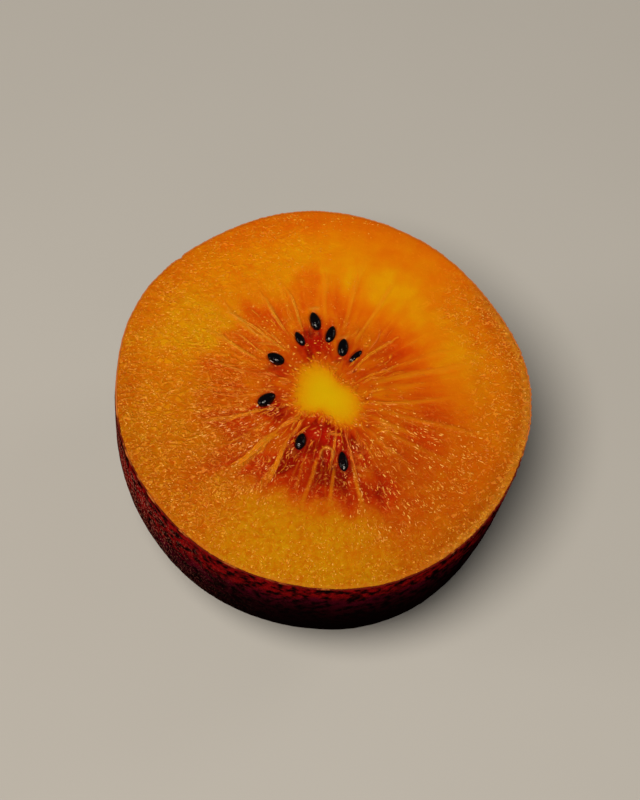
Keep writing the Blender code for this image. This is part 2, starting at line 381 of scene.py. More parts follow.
# Strands of torn tissue round the core: how strong, how wide, how pink rather than yellow, then the places it runs through.
STROKES = (
    (0.85, 0.24, 0.0, (3.86, 4.25), (4.18, 4.81), (4.74, 5.21), (5.54, 6.09), (6.34, 6.69), (7.14, 7.33), (8.10, 7.93), (9.22, 8.73)),
    (0.75, 0.21, 1.0, (2.90, 3.61), (3.46, 3.89), (3.74, 4.25)),
    (0.65, 0.18, 0.0, (3.22, 4.57), (3.62, 5.05), (3.94, 5.53)),
    (0.60, 0.24, 0.0, (4.10, 4.41), (4.42, 4.89), (4.90, 5.37)),
    (0.50, 0.16, 1.0, (5.62, 6.81), (6.10, 7.53), (6.58, 8.17), (6.82, 8.81), (7.14, 9.61)),
    (0.60, 0.18, 0.0, (4.90, 7.53), (5.46, 7.49), (5.78, 7.73)),
    (0.55, 0.19, 0.0, (3.46, 8.81), (4.10, 9.29), (4.42, 10.09)),
    (0.60, 0.21, 0.0, (3.94, 2.41), (4.74, 2.89), (5.70, 3.41), (6.74, 3.77), (7.62, 4.05), (8.66, 4.65), (10.02, 5.21)),
    (0.65, 0.21, 0.0, (4.66, 2.45), (5.14, 2.53), (5.86, 3.05), (6.58, 3.05), (7.38, 3.17)),
    (0.35, 0.24, 0.0, (7.78, 3.29), (8.74, 3.69), (9.86, 3.93)),
    (0.60, 0.21, 0.0, (5.70, 1.29), (6.66, 1.33), (7.30, 1.53), (7.94, 1.49)),
    (0.38, 0.22, 0.0, (5.70, -0.39), (6.82, -0.47), (7.94, -0.43), (9.54, -0.31)),
    (0.60, 0.11, 1.0, (5.78, -0.35), (6.42, -0.59)),
    (0.55, 0.12, 1.0, (5.54, -1.15), (6.02, -1.27), (6.42, -1.43)),
    (0.26, 0.20, 0.0, (5.78, -3.35), (6.82, -3.59), (7.94, -3.83), (9.54, -4.15)),
    (0.65, 0.16, 0.0, (6.50, -4.39), (7.06, -4.11), (7.70, -4.07), (8.66, -4.31)),
    (0.60, 0.18, 0.5, (6.10, -4.31), (6.50, -5.19), (7.14, -5.75), (7.46, -6.31), (8.02, -6.47), (8.66, -7.11), (9.70, -7.83)),
    (0.55, 0.16, 0.6, (4.82, -4.31), (5.14, -4.71), (5.62, -5.07)),
    (0.30, 0.24, 0.3, (4.66, -5.11), (5.14, -6.07), (5.70, -7.19), (6.18, -8.31)),
    (0.25, 0.27, 0.3, (3.86, -3.99), (4.18, -4.95), (4.58, -6.23), (4.82, -7.19)),
    (0.70, 0.19, 0.2, (1.54, -3.19), (1.58, -4.23), (1.50, -5.19), (1.38, -6.23), (1.14, -7.19), (1.02, -8.15), (0.82, -9.75)),
    (0.65, 0.16, 0.5, (0.86, -4.23), (1.54, -4.15)),
    (0.60, 0.18, 0.3, (1.30, -4.67), (1.86, -4.59), (2.42, -4.59)),
    (0.62, 0.16, 0.9, (2.58, -3.67), (2.74, -4.63), (2.98, -5.59), (3.30, -6.79), (3.54, -7.83), (3.82, -8.95), (4.18, -10.55)),
    (0.90, 0.34, 0.0, (-11.3, -9.20), (-10.2, -8.45), (-9.10, -7.67), (-8.06, -6.63), (-7.26, -5.67), (-6.46, -4.91), (-5.66, -4.23), (-4.94, -3.63)),
    (0.80, 0.29, 0.3, (-5.10, -3.75), (-4.38, -3.19), (-3.58, -2.71), (-2.78, -2.31)),
    (0.60, 0.27, 0.0, (-7.10, -5.99), (-6.62, -5.43), (-5.82, -4.87), (-5.10, -4.39)),
    (0.85, 0.28, 0.0, (-6.70, -11.3), (-6.15, -10.2), (-5.66, -9.11), (-5.26, -7.99), (-4.94, -7.11), (-4.62, -6.31), (-4.14, -5.35), (-3.74, -4.71)),
    (0.80, 0.24, 0.3, (-3.98, -4.63), (-3.50, -4.47), (-3.18, -3.99), (-2.86, -3.51), (-2.54, -2.87), (-2.14, -2.47)),
    (0.80, 0.19, 0.3, (-3.26, -4.67), (-2.70, -4.39), (-2.14, -3.91), (-1.42, -3.39)),
    (0.60, 0.16, 0.5, (-3.90, -4.07), (-3.58, -3.51), (-3.26, -2.87), (-2.78, -2.55)),
    (0.55, 0.21, 0.0, (-3.50, -2.39), (-2.94, -1.95), (-2.22, -1.67), (-1.50, -1.59)),
    (0.55, 0.11, 1.0, (-5.58, -2.15), (-4.94, -1.67)),
    (0.45, 0.16, 1.0, (-4.22, -2.63), (-3.74, -2.31), (-3.26, -2.23)),
    (0.70, 0.16, 0.8, (-1.66, -6.31), (-1.34, -5.75), (-0.94, -5.31)),
    (0.40, 0.10, 1.0, (-1.18, -8.15), (-0.94, -7.03), (-0.74, -6.07)),
    (0.35, 0.10, 1.0, (-0.54, -5.75), (-0.22, -4.63), (-0.06, -3.67)),
    (0.40, 0.13, 1.0, (0.66, -5.75), (0.78, -4.95), (0.90, -4.31)),
    (0.60, 0.18, 0.5, (-7.58, 3.81), (-6.62, 3.65), (-5.82, 3.53), (-5.34, 3.25)),
    (0.45, 0.18, 0.4, (-7.98, 3.53), (-7.26, 3.33), (-6.54, 3.21)),
    (0.60, 0.14, 0.3, (-5.34, 3.09), (-4.54, 2.97), (-3.90, 2.81)),
    (0.60, 0.11, 0.2, (-5.02, 2.77), (-4.30, 2.73), (-3.66, 2.49)),
    (0.70, 0.11, 0.6, (-5.26, 2.53), (-4.70, 2.49), (-3.82, 2.45)),
    (0.75, 0.14, 0.8, (-5.02, 2.29), (-4.62, 2.19), (-4.22, 2.25)),
    (0.55, 0.16, 0.2, (-3.74, 2.33), (-3.26, 2.09), (-2.78, 1.93)),
    (0.50, 0.19, 0.4, (-7.58, 1.09), (-6.94, 1.37), (-6.30, 1.43), (-5.66, 1.45)),
    (0.50, 0.24, 0.0, (-8.22, -1.11), (-7.74, -1.19), (-7.26, -1.27)),
    (0.45, 0.21, 0.2, (-8.54, 7.93), (-7.42, 7.89), (-6.14, 7.69), (-5.50, 7.61), (-4.78, 7.21), (-4.14, 6.89)),
    (0.60, 0.14, 0.1, (-7.26, 9.77), (-6.62, 9.21), (-5.90, 8.73), (-5.26, 8.29)),
    (0.55, 0.18, 0.2, (-1.42, 5.57), (-0.86, 5.45), (-0.22, 5.21)),
    (0.45, 0.18, 0.3, (-2.46, 4.97), (-1.90, 5.01), (-1.26, 5.09)),
    (0.40, 0.19, 0.1, (0.74, 4.73), (1.38, 4.41), (2.02, 4.25)),
    (0.45, 0.14, 0.3, (1.62, 4.81), (2.02, 5.21)),
    (0.40, 0.14, 0.4, (3.30, 2.97), (3.70, 2.57), (4.10, 2.25)),
    (0.45, 0.16, 0.3, (4.26, -1.75), (4.90, -2.07), (5.46, -2.15)),
    (0.45, 0.14, 0.5, (4.42, -2.31), (5.06, -2.39), (5.62, -2.63)),
    (0.40, 0.13, 0.5, (5.14, -3.03), (5.86, -2.87), (6.50, -2.87)),
    (0.45, 0.19, 0.0, (-7.42, -7.19), (-7.02, -6.55), (-6.70, -5.91)),
    (0.40, 0.16, 0.4, (-4.94, -5.27), (-4.46, -5.11), (-4.06, -4.79)),
    (0.35, 0.13, 0.6, (-6.46, -8.23), (-6.06, -7.75)),
    (0.35, 0.27, 0.0, (8.10, -7.51), (7.62, -6.87), (7.30, -6.23)),
    (0.88, 0.24, 0.0, (-12.05, 13.58), (-11.15, 12.05), (-9.91, 11.15), (-8.32, 10.10), (-6.56, 8.50), (-5.33, 7.44), (-4.11, 6.64)),
    (0.72, 0.17, 0.0, (-10.71, 11.95), (-9.55, 10.74), (-8.49, 9.54), (-7.08, 8.34)),
    (0.72, 0.23, 0.1, (-7.68, 14.90), (-6.79, 13.78), (-6.07, 12.05), (-5.10, 10.44), (-4.13, 8.94)),
    (0.45, 0.16, 0.3, (-6.44, 13.58), (-5.72, 11.75), (-4.83, 10.34)),
    (0.62, 0.16, 0.2, (-11.10, 9.44), (-10.04, 9.04), (-8.81, 7.90), (-7.76, 6.94), (-7.05, 6.35)),
    (0.78, 0.24, 0.0, (-12.49, 9.34), (-11.60, 8.24), (-9.84, 6.90), (-8.61, 6.11), (-7.91, 5.55)),
    (0.35, 0.18, 0.0, (-13.36, 9.54), (-12.30, 8.74), (-11.06, 7.54)),
    (0.64, 0.22, 0.0, (-4.70, 15.82), (-3.81, 14.39), (-3.28, 12.76), (-2.83, 11.15), (-2.39, 9.54)),
    (0.60, 0.14, 0.4, (-6.40, 9.54), (-5.69, 8.54), (-4.64, 7.44), (-3.94, 7.04)),
    (0.40, 0.15, 0.2, (-8.88, 12.76), (-8.00, 11.95), (-7.46, 11.15)),
    (1.00, 0.20, 0.0, (-9.60, -2.00), (-8.67, -1.62), (-7.68, -1.34), (-6.70, -1.08), (-5.90, -0.92)),
    (0.80, 0.23, 0.0, (-11.83, -3.08), (-10.25, -2.23), (-8.67, -1.67), (-7.68, -1.40), (-6.88, -1.11)),
    (0.50, 0.14, 0.2, (-14.13, 1.54), (-12.71, 0.93), (-11.30, 0.70), (-10.10, 0.61), (-7.91, 0.93), (-5.71, 1.32)),
    (0.60, 0.14, 0.3, (-11.37, -5.98), (-10.59, -5.42), (-9.61, -4.87), (-8.43, -4.42)),
    (0.45, 0.18, 0.2, (-14.22, 5.32), (-12.40, 5.09), (-10.37, 4.29), (-8.75, 3.90), (-7.54, 3.60)),
    (0.45, 0.15, 0.3, (-14.02, -2.64), (-12.24, -2.30), (-10.65, -2.07), (-9.47, -1.69)),
    (0.35, 0.13, 0.4, (-13.62, -2.86), (-11.64, -2.75), (-10.24, -3.08)),
    (0.35, 0.15, 0.0, (-18.26, -7.08), (-16.49, -6.75), (-14.91, -6.64), (-13.74, -6.42)),
    (0.35, 0.13, 0.0, (-20.13, -4.42), (-18.96, -3.87), (-17.78, -3.53), (-16.59, -3.31)),
)
# Wet glints: (x, y, half length, half width, turned, how bright, how pink).
GLINTS = (
    (-4.14, 7.53, 0.14, 0.12, 0, 0.90, 1),
    (-3.42, 6.45, 0.17, 0.10, 0, 0.90, 1),
    (-3.62, 5.73, 0.14, 0.09, 60, 0.80, 1),
    (-3.94, 4.81, 0.22, 0.09, -55, 0.90, 1),
    (-4.18, 4.05, 0.11, 0.09, 0, 0.90, 1),
    (-3.26, 4.37, 0.22, 0.09, -60, 0.85, 1),
    (-2.94, 3.73, 0.14, 0.09, -30, 0.60, 0),
    (-3.50, 3.69, 0.12, 0.09, 0, 0.60, 0),
    (-3.14, 5.31, 0.19, 0.09, 0, 0.60, 1),
    (-2.70, 5.29, 0.19, 0.09, 0, 0.70, 1),
    (-0.54, 6.61, 0.26, 0.09, 5, 0.80, 0),
    (0.34, 5.93, 0.31, 0.09, 38, 0.80, 1),
    (-7.26, 6.49, 0.19, 0.12, -20, 0.70, 0),
    (-6.98, 6.89, 0.17, 0.10, -30, 0.60, 0),
    (-7.34, 4.97, 0.14, 0.09, -40, 0.70, 0),
    (-7.74, 2.53, 0.17, 0.12, 0, 0.70, 0),
    (-6.70, 2.25, 0.12, 0.09, 0, 0.70, 1),
    (-6.42, 1.97, 0.14, 0.09, 60, 0.40, 1),
    (-4.70, 1.29, 0.12, 0.10, 30, 0.50, 1),
    (-4.78, 0.89, 0.14, 0.09, -10, 0.60, 1),
    (-4.30, 1.01, 0.11, 0.09, -30, 0.50, 1),
    (-4.70, 0.53, 0.29, 0.09, -6, 0.70, 1),
    (-3.86, 0.63, 0.11, 0.09, 60, 0.50, 1),
    (-4.82, 4.17, 0.11, 0.17, -20, 0.50, 1),
    (-5.86, 5.21, 0.14, 0.09, -60, 0.60, 1),
    (-6.34, 5.49, 0.19, 0.09, -45, 0.50, 1),
    (-5.18, 2.53, 0.17, 0.09, 0, 0.60, 0),
    (5.74, 8.25, 0.17, 0.12, 30, 0.90, 0),
    (8.10, 8.09, 0.26, 0.10, 0, 0.60, 1),
    (6.22, 5.45, 0.11, 0.12, 0, 0.40, 1),
    (7.18, 5.33, 0.17, 0.13, 0, 0.60, 0),
    (4.78, 4.21, 0.11, 0.09, 0, 0.80, 1),
    (5.02, 4.21, 0.11, 0.09, 0, 0.80, 1),
    (6.58, 2.25, 0.11, 0.11, 0, 0.90, 0),
    (4.26, 2.17, 0.12, 0.09, -50, 0.60, 0),
    (3.98, 1.97, 0.12, 0.09, 30, 0.60, 0),
    (5.06, 1.05, 0.17, 0.09, 45, 0.70, 0),
    (5.26, 1.21, 0.17, 0.09, 50, 0.60, 0),
    (5.74, 0.81, 0.12, 0.09, 45, 0.80, 0),
    (5.78, 0.49, 0.11, 0.09, 0, 0.70, 0),
    (2.50, 2.81, 0.11, 0.10, 0, 0.80, 0),
    (2.50, 2.39, 0.11, 0.10, 0, 0.80, 0),
    (3.54, 2.97, 0.12, 0.09, 30, 0.50, 1),
    (2.94, 2.57, 0.17, 0.09, 0, 0.60, 1),
    (3.42, 2.33, 0.11, 0.12, 0, 0.50, 1),
    (2.14, 5.79, 0.27, 0.10, 5, 0.95, 1),
    (1.26, 5.21, 0.20, 0.09, 10, 0.70, 1),
    (1.98, 5.21, 0.17, 0.09, 60, 0.60, 0),
    (0.70, 6.57, 0.11, 0.17, 0, 0.30, 1),
    (4.02, 3.29, 0.11, 0.14, 0, 0.40, 1),
    (3.62, 3.97, 0.24, 0.09, 55, 0.80, 1),
    (4.66, 6.33, 0.22, 0.09, 40, 0.35, 1),
    (8.90, -4.23, 0.26, 0.09, 0, 0.50, 0),
    (-1.66, -3.03, 0.12, 0.10, 0, 0.85, 1),
    (-0.18, -3.35, 0.20, 0.10, 0, 0.80, 1),
    (-0.06, -2.79, 0.11, 0.14, 0, 0.70, 1),
    (-0.18, -3.83, 0.11, 0.10, 0, 0.80, 1),
    (0.58, -4.07, 0.11, 0.11, 0, 0.95, 1),
    (-0.82, -4.31, 0.20, 0.10, 20, 0.90, 1),
    (-0.50, -4.11, 0.22, 0.09, -50, 0.70, 1),
    (-0.54, -4.63, 0.17, 0.12, 0, 0.90, 1),
    (-0.86, -2.15, 0.17, 0.09, 0, 0.50, 1),
    (-1.14, -2.19, 0.11, 0.14, 0, 0.50, 1),
    (-6.46, -1.11, 0.31, 0.09, 0, 0.70, 1),
    (-6.14, -1.03, 0.17, 0.09, -30, 0.50, 1),
    (-4.22, -0.57, 0.29, 0.13, -15, 0.80, 0),
    (-3.90, -0.75, 0.12, 0.09, -60, 0.60, 0),
    (-5.10, -3.79, 0.14, 0.10, 0, 0.80, 0),
    (-4.70, -3.51, 0.17, 0.09, 30, 0.60, 0),
    (-4.34, -3.03, 0.17, 0.09, 30, 0.60, 0),
    (-3.66, -3.87, 0.11, 0.17, -30, 0.60, 0),
    (-6.78, -5.91, 0.17, 0.09, 60, 0.50, 0),
    (-6.94, -6.19, 0.19, 0.09, 30, 0.50, 0),
    (-7.58, -7.07, 0.19, 0.09, 45, 0.60, 0),
    (-7.26, -6.87, 0.14, 0.09, -30, 0.50, 0),
    (-6.30, -8.07, 0.26, 0.09, 45, 0.60, 0),
    (-5.02, -5.35, 0.11, 0.10, 0, 0.60, 1),
    (-4.54, -5.15, 0.19, 0.09, 45, 0.60, 1),
    (-1.98, -7.67, 0.11, 0.26, -10, 0.50, 1),
    (-2.78, -8.07, 0.12, 0.09, 0, 0.60, 1),
    (-2.02, -8.31, 0.12, 0.12, 0, 0.60, 1),
    (-7.78, -0.63, 0.12, 0.20, -30, 1.00, 1),
    (-5.14, -2.91, 0.19, 0.14, 0, 0.50, 1),
    (-6.70, -3.11, 0.11, 0.26, -10, 0.40, 1),
    (-7.70, -4.67, 0.14, 0.10, 0, 0.50, 0),
    (-5.26, -4.71, 0.14, 0.09, -40, 0.50, 0),
    (-4.94, -4.87, 0.11, 0.14, 0, 0.40, 1),
    (-4.06, -7.27, 0.11, 0.14, 0, 0.50, 1),
    (-1.58, -6.59, 0.17, 0.09, 0, 0.40, 1),
    (1.94, -5.35, 0.12, 0.12, 0, 0.95, 1),
    (2.02, -5.75, 0.19, 0.09, -45, 0.70, 1),
    (1.90, -6.03, 0.19, 0.09, 30, 0.60, 1),
    (2.30, -5.51, 0.11, 0.19, 0, 0.40, 1),
    (4.02, -3.27, 0.12, 0.11, 0, 0.90, 0),
    (4.46, -3.35, 0.11, 0.15, 20, 0.90, 0),
    (5.30, -3.31, 0.14, 0.10, 0, 0.90, 1),
    (4.10, -5.91, 0.20, 0.10, -10, 0.80, 1),
    (4.34, -5.83, 0.11, 0.12, 0, 0.60, 1),
    (3.82, -5.59, 0.14, 0.10, 0, 0.60, 1),
    (4.02, -6.63, 0.11, 0.09, 0, 0.70, 1),
    (4.06, -6.31, 0.11, 0.09, 0, 0.50, 1),
    (5.30, -6.51, 0.12, 0.10, 0, 0.80, 0),
    (4.98, -6.39, 0.11, 0.09, 0, 0.50, 0),
    (4.54, -7.35, 0.24, 0.17, -30, 0.55, 0),
    (4.74, -7.59, 0.11, 0.09, 0, 0.60, 0),
    (5.94, -7.43, 0.11, 0.10, 0, 0.70, 0),
    (7.74, -7.79, 0.11, 0.09, 0, 0.50, 0),
    (5.78, -5.99, 0.17, 0.09, 0, 0.50, 0),
    (4.98, -8.47, 0.11, 0.17, 20, 0.60, 0),
    (8.10, -5.99, 0.14, 0.10, 0, 0.80, 0),
    (8.34, -6.47, 0.17, 0.10, -10, 1.00, 0),
    (8.42, -6.79, 0.26, 0.09, -45, 0.90, 0),
    (8.66, -7.03, 0.20, 0.09, -45, 0.80, 0),
    (8.02, -6.79, 0.14, 0.09, -30, 0.70, 0),
    (0.98, -2.91, 0.17, 0.10, 0, 0.60, 0),
    (0.70, -3.75, 0.11, 0.14, 0, 0.60, 1),
    (0.90, -3.95, 0.11, 0.12, 0, 0.60, 1),
    (6.90, -2.51, 0.14, 0.09, -20, 0.90, 0),
    (7.22, -2.71, 0.22, 0.09, -30, 0.70, 0),
    (7.70, -2.87, 0.15, 0.09, 20, 0.95, 0),
    (6.94, -1.39, 0.11, 0.09, 0, 0.80, 0),
    (7.14, -1.27, 0.15, 0.09, 35, 0.90, 0),
    (6.38, -0.59, 0.17, 0.09, -5, 0.90, 0),
    (7.74, -0.59, 0.26, 0.09, 0, 0.80, 0),
    (6.34, -1.37, 0.15, 0.09, 0, 0.70, 0),
    (5.98, -0.31, 0.14, 0.09, 0, 0.60, 0),
    (7.54, -3.67, 0.11, 0.12, 0, 0.70, 0),
    (7.46, -4.11, 0.17, 0.09, 0, 0.60, 0),
    (8.58, -4.27, 0.15, 0.09, 20, 0.70, 0),
    (6.58, -4.39, 0.17, 0.09, 10, 0.70, 0),
    (6.02, -3.35, 0.26, 0.09, 0, 0.50, 0),
    (3.46, -5.27, 0.11, 0.17, -20, 0.25, 1),
    (4.66, -0.39, 0.11, 0.17, 10, 0.45, 0),
    (5.30, -1.35, 0.11, 0.12, 0, 0.40, 0),
    (1.86, -2.83, 0.26, 0.10, 0, 0.35, 0),
    (6.50, -5.19, 0.11, 0.14, -30, 0.60, 0),
    (7.30, -6.23, 0.14, 0.09, 30, 0.60, 0),
    (-0.02, -2.55, 0.11, 0.12, 0, 0.50, 1),
    (1.22, -8.71, 0.11, 0.17, 0, 0.50, 1),
    (-0.14, -8.47, 0.11, 0.17, 0, 0.30, 1),
    (-8.45, 13.07, 0.15, 0.11, -30, 0.85, 0.0),
    (-9.09, 14.84, 0.20, 0.09, 10, 0.70, 0.4),
    (-6.76, 11.04, 0.13, 0.10, -15, 0.95, 0.2),
    (-7.28, 10.90, 0.17, 0.11, 35, 0.60, 0.0),
    (-6.14, 10.34, 0.15, 0.09, 0, 0.85, 0.4),
    (-9.45, 9.74, 0.20, 0.10, -30, 0.70, 0.2),
    (-11.39, 10.94, 0.13, 0.11, 10, 0.95, 0.0),
    (-13.08, 16.74, 0.17, 0.09, -15, 0.60, 0.4),
    (-5.44, 19.99, 0.15, 0.10, 35, 0.85, 0.2),
    (-7.14, 20.82, 0.20, 0.11, 0, 0.70, 0.0),
    (-7.66, 20.05, 0.13, 0.09, -30, 0.95, 0.4),
    (-2.51, 18.70, 0.17, 0.10, 10, 0.60, 0.2),
    (-4.33, 13.13, 0.15, 0.11, -15, 0.85, 0.0),
    (-5.23, 16.23, 0.20, 0.09, 35, 0.70, 0.4),
    (-10.71, 12.36, 0.13, 0.10, 0, 0.95, 0.2),
    (-5.91, 9.78, 0.17, 0.11, -30, 0.60, 0.0),
    (-12.62, 7.44, 0.15, 0.09, 10, 0.85, 0.4),
    (-9.81, 5.16, 0.20, 0.10, -15, 0.70, 0.2),
    (-8.63, 7.14, 0.13, 0.11, 35, 0.95, 0.0),
    (-8.19, 6.90, 0.17, 0.09, 0, 0.60, 0.4),
    (-3.50, 6.35, 0.15, 0.10, -30, 0.85, 0.2),
    (-4.12, 7.34, 0.20, 0.11, 10, 0.70, 0.0),
    (-3.84, 4.76, 0.13, 0.09, -15, 0.95, 0.4),
    (-18.28, 13.74, 0.17, 0.10, 35, 0.60, 0.2),
    (-16.72, 11.25, 0.15, 0.11, 0, 0.85, 0.0),
    (-15.63, 9.54, 0.20, 0.09, -30, 0.70, 0.4),
    (-12.05, 13.37, 0.13, 0.10, 10, 0.95, 0.2),
    (-8.25, 17.67, 0.17, 0.11, -15, 0.60, 0.0),
    (-16.21, 18.19, 0.15, 0.09, 35, 0.85, 0.4),
    (-16.23, 18.91, 0.20, 0.10, 0, 0.70, 0.2),
    (-12.60, 14.70, 0.13, 0.11, -30, 0.95, 0.0),
    (-13.47, 14.39, 0.17, 0.09, 10, 0.60, 0.4),
    (-12.97, 3.60, 0.20, 0.09, 5, 0.90, 0.5),
    (-11.42, 1.47, 0.28, 0.10, -12, 0.70, 0.2),
    (-7.73, 2.45, 0.15, 0.11, 20, 0.80, 0.8),
    (-13.84, -1.96, 0.24, 0.09, 0, 0.60, 0.5),
    (-13.65, -1.51, 0.20, 0.10, 30, 0.90, 0.2),
    (-13.73, -2.30, 0.28, 0.11, 5, 0.70, 0.8),
    (-12.95, -1.96, 0.15, 0.09, -12, 0.80, 0.5),
    (-11.89, 0.07, 0.24, 0.10, 20, 0.60, 0.2),
    (-10.27, -1.17, 0.20, 0.11, 0, 0.90, 0.8),
    (-10.85, -2.19, 0.28, 0.09, 30, 0.70, 0.5),
    (-12.37, -5.42, 0.15, 0.10, 5, 0.80, 0.2),
    (-14.07, -4.87, 0.24, 0.11, -12, 0.60, 0.8),
    (-14.79, -3.98, 0.20, 0.09, 20, 0.90, 0.5),
    (-16.42, 4.63, 0.28, 0.10, 0, 0.70, 0.2),
    (-15.95, 2.34, 0.15, 0.11, 30, 0.80, 0.8),
    (-14.96, 2.80, 0.24, 0.09, 5, 0.60, 0.5),
    (-15.73, 1.54, 0.20, 0.10, -12, 0.90, 0.2),
    (-12.65, -6.42, 0.28, 0.11, 20, 0.70, 0.8),
    (-12.64, -6.86, 0.15, 0.09, 0, 0.80, 0.5),
    (-13.91, -7.53, 0.24, 0.10, 30, 0.60, 0.2),
    (-15.88, -7.53, 0.20, 0.11, 5, 0.90, 0.8),
    (-15.60, -6.86, 0.28, 0.09, -12, 0.70, 0.5),
    (-19.29, -2.86, 0.15, 0.10, 20, 0.80, 0.2),
    (-18.11, -5.54, 0.24, 0.11, 0, 0.60, 0.8),
    (-19.27, -6.42, 0.20, 0.09, 30, 0.90, 0.5),
    (-14.08, -8.30, 0.28, 0.10, 5, 0.70, 0.2),
    (-8.41, -5.65, 0.15, 0.11, -12, 0.80, 0.8),
    (-7.78, -8.62, 0.24, 0.09, 20, 0.60, 0.5),
)


def stroke(x, y, row):
    """How much of one strand is here, and how much of the gap beside it; it thins towards both ends."""
    weight, width, _, places = row[0], row[1], row[2], row[3:]
    best = np.full(np.shape(x), 9.0)
    far = np.zeros(np.shape(x))
    total = sum(math.dist(p, q) for p, q in zip(places, places[1:]))
    gone = 0.0
    for (px, py), (qx, qy) in zip(places, places[1:]):
        long = math.dist((px, py), (qx, qy))
        t = np.clip(((x - px) * (qx - px) + (y - py) * (qy - py)) / long**2, 0.0, 1.0)
        d = np.hypot(x - px - t * (qx - px), y - py - t * (qy - py))
        far = np.where(d < best, (gone + t * long) / total, far)
        best = np.minimum(best, d)
        gone += long
    thin = 0.45 + 0.55 * step(0.0, 0.25, far) * step(1.0, 0.7, far)
    broad = (0.62 + 0.40 * min(max((width - 0.15) / 0.15, 0.0), 1.0)) * width * thin
    return weight * bell((best / broad) ** 2), weight * bell((best / (1.5 * broad + 0.14)) ** 2)


def bits(count, seed, region):
    """Small curled scraps of tissue scattered between the strands, as strokes."""
    k = np.arange(count)

    def chance(more):
        return scatter(k, 0 * k + 5, seed + more)

    low, high, first, last = region
    reach = low + (high - low) * chance(1) ** 0.8
    way = np.radians(first + (last - first) * chance(2))
    lean = way + np.radians(70.0 * (chance(3) + chance(4) - 1.0))
    long = 0.12 + 0.42 * chance(5) ** 2.0
    bend = 0.9 * (chance(6) - 0.5) * long
    made = []
    for i in range(count):
        cx, cy = CORE_AT[0] + reach[i] * math.cos(way[i]), CORE_AT[1] + reach[i] * math.sin(way[i])
        ux, uy = math.cos(lean[i]), math.sin(lean[i])
        made.append((
            0.25 + 0.45 * float(chance(7)[i]), 0.13 + 0.09 * float(chance(8)[i]), float(chance(9)[i]),
            (cx - ux * long[i], cy - uy * long[i]),
            (cx - uy * bend[i], cy + ux * bend[i]),
            (cx + ux * long[i], cy + uy * long[i]),
        ))
    return made


BITS = bits(46, 401, (4.6, 9.5, -165.0, -20.0)) + bits(30, 431, (4.8, 8.5, 140.0, 200.0)) + bits(24, 461, (4.8, 9.0, -20.0, 60.0))


def strands(x, y):
    """How much pale strand is here, how pink it is, and how much of the dark gap beside it."""
    total, pink, gap = np.zeros(np.shape(x)), np.zeros(np.shape(x)), np.zeros(np.shape(x))
    for row in STROKES + tuple(BITS):
        xs, ys = [p[0] for p in row[3:]], [p[1] for p in row[3:]]
        near = (x > min(xs) - 0.8) & (x < max(xs) + 0.8) & (y > min(ys) - 0.8) & (y < max(ys) + 0.8)
        if not near.any():
            continue
        one, beside = stroke(x[near], y[near], row)
        more = one > total[near]
        pink[near] = np.where(more, row[2], pink[near])
        total[near] = np.maximum(total[near], one)
        gap[near] = np.maximum(gap[near], beside)
    return total, pink, gap


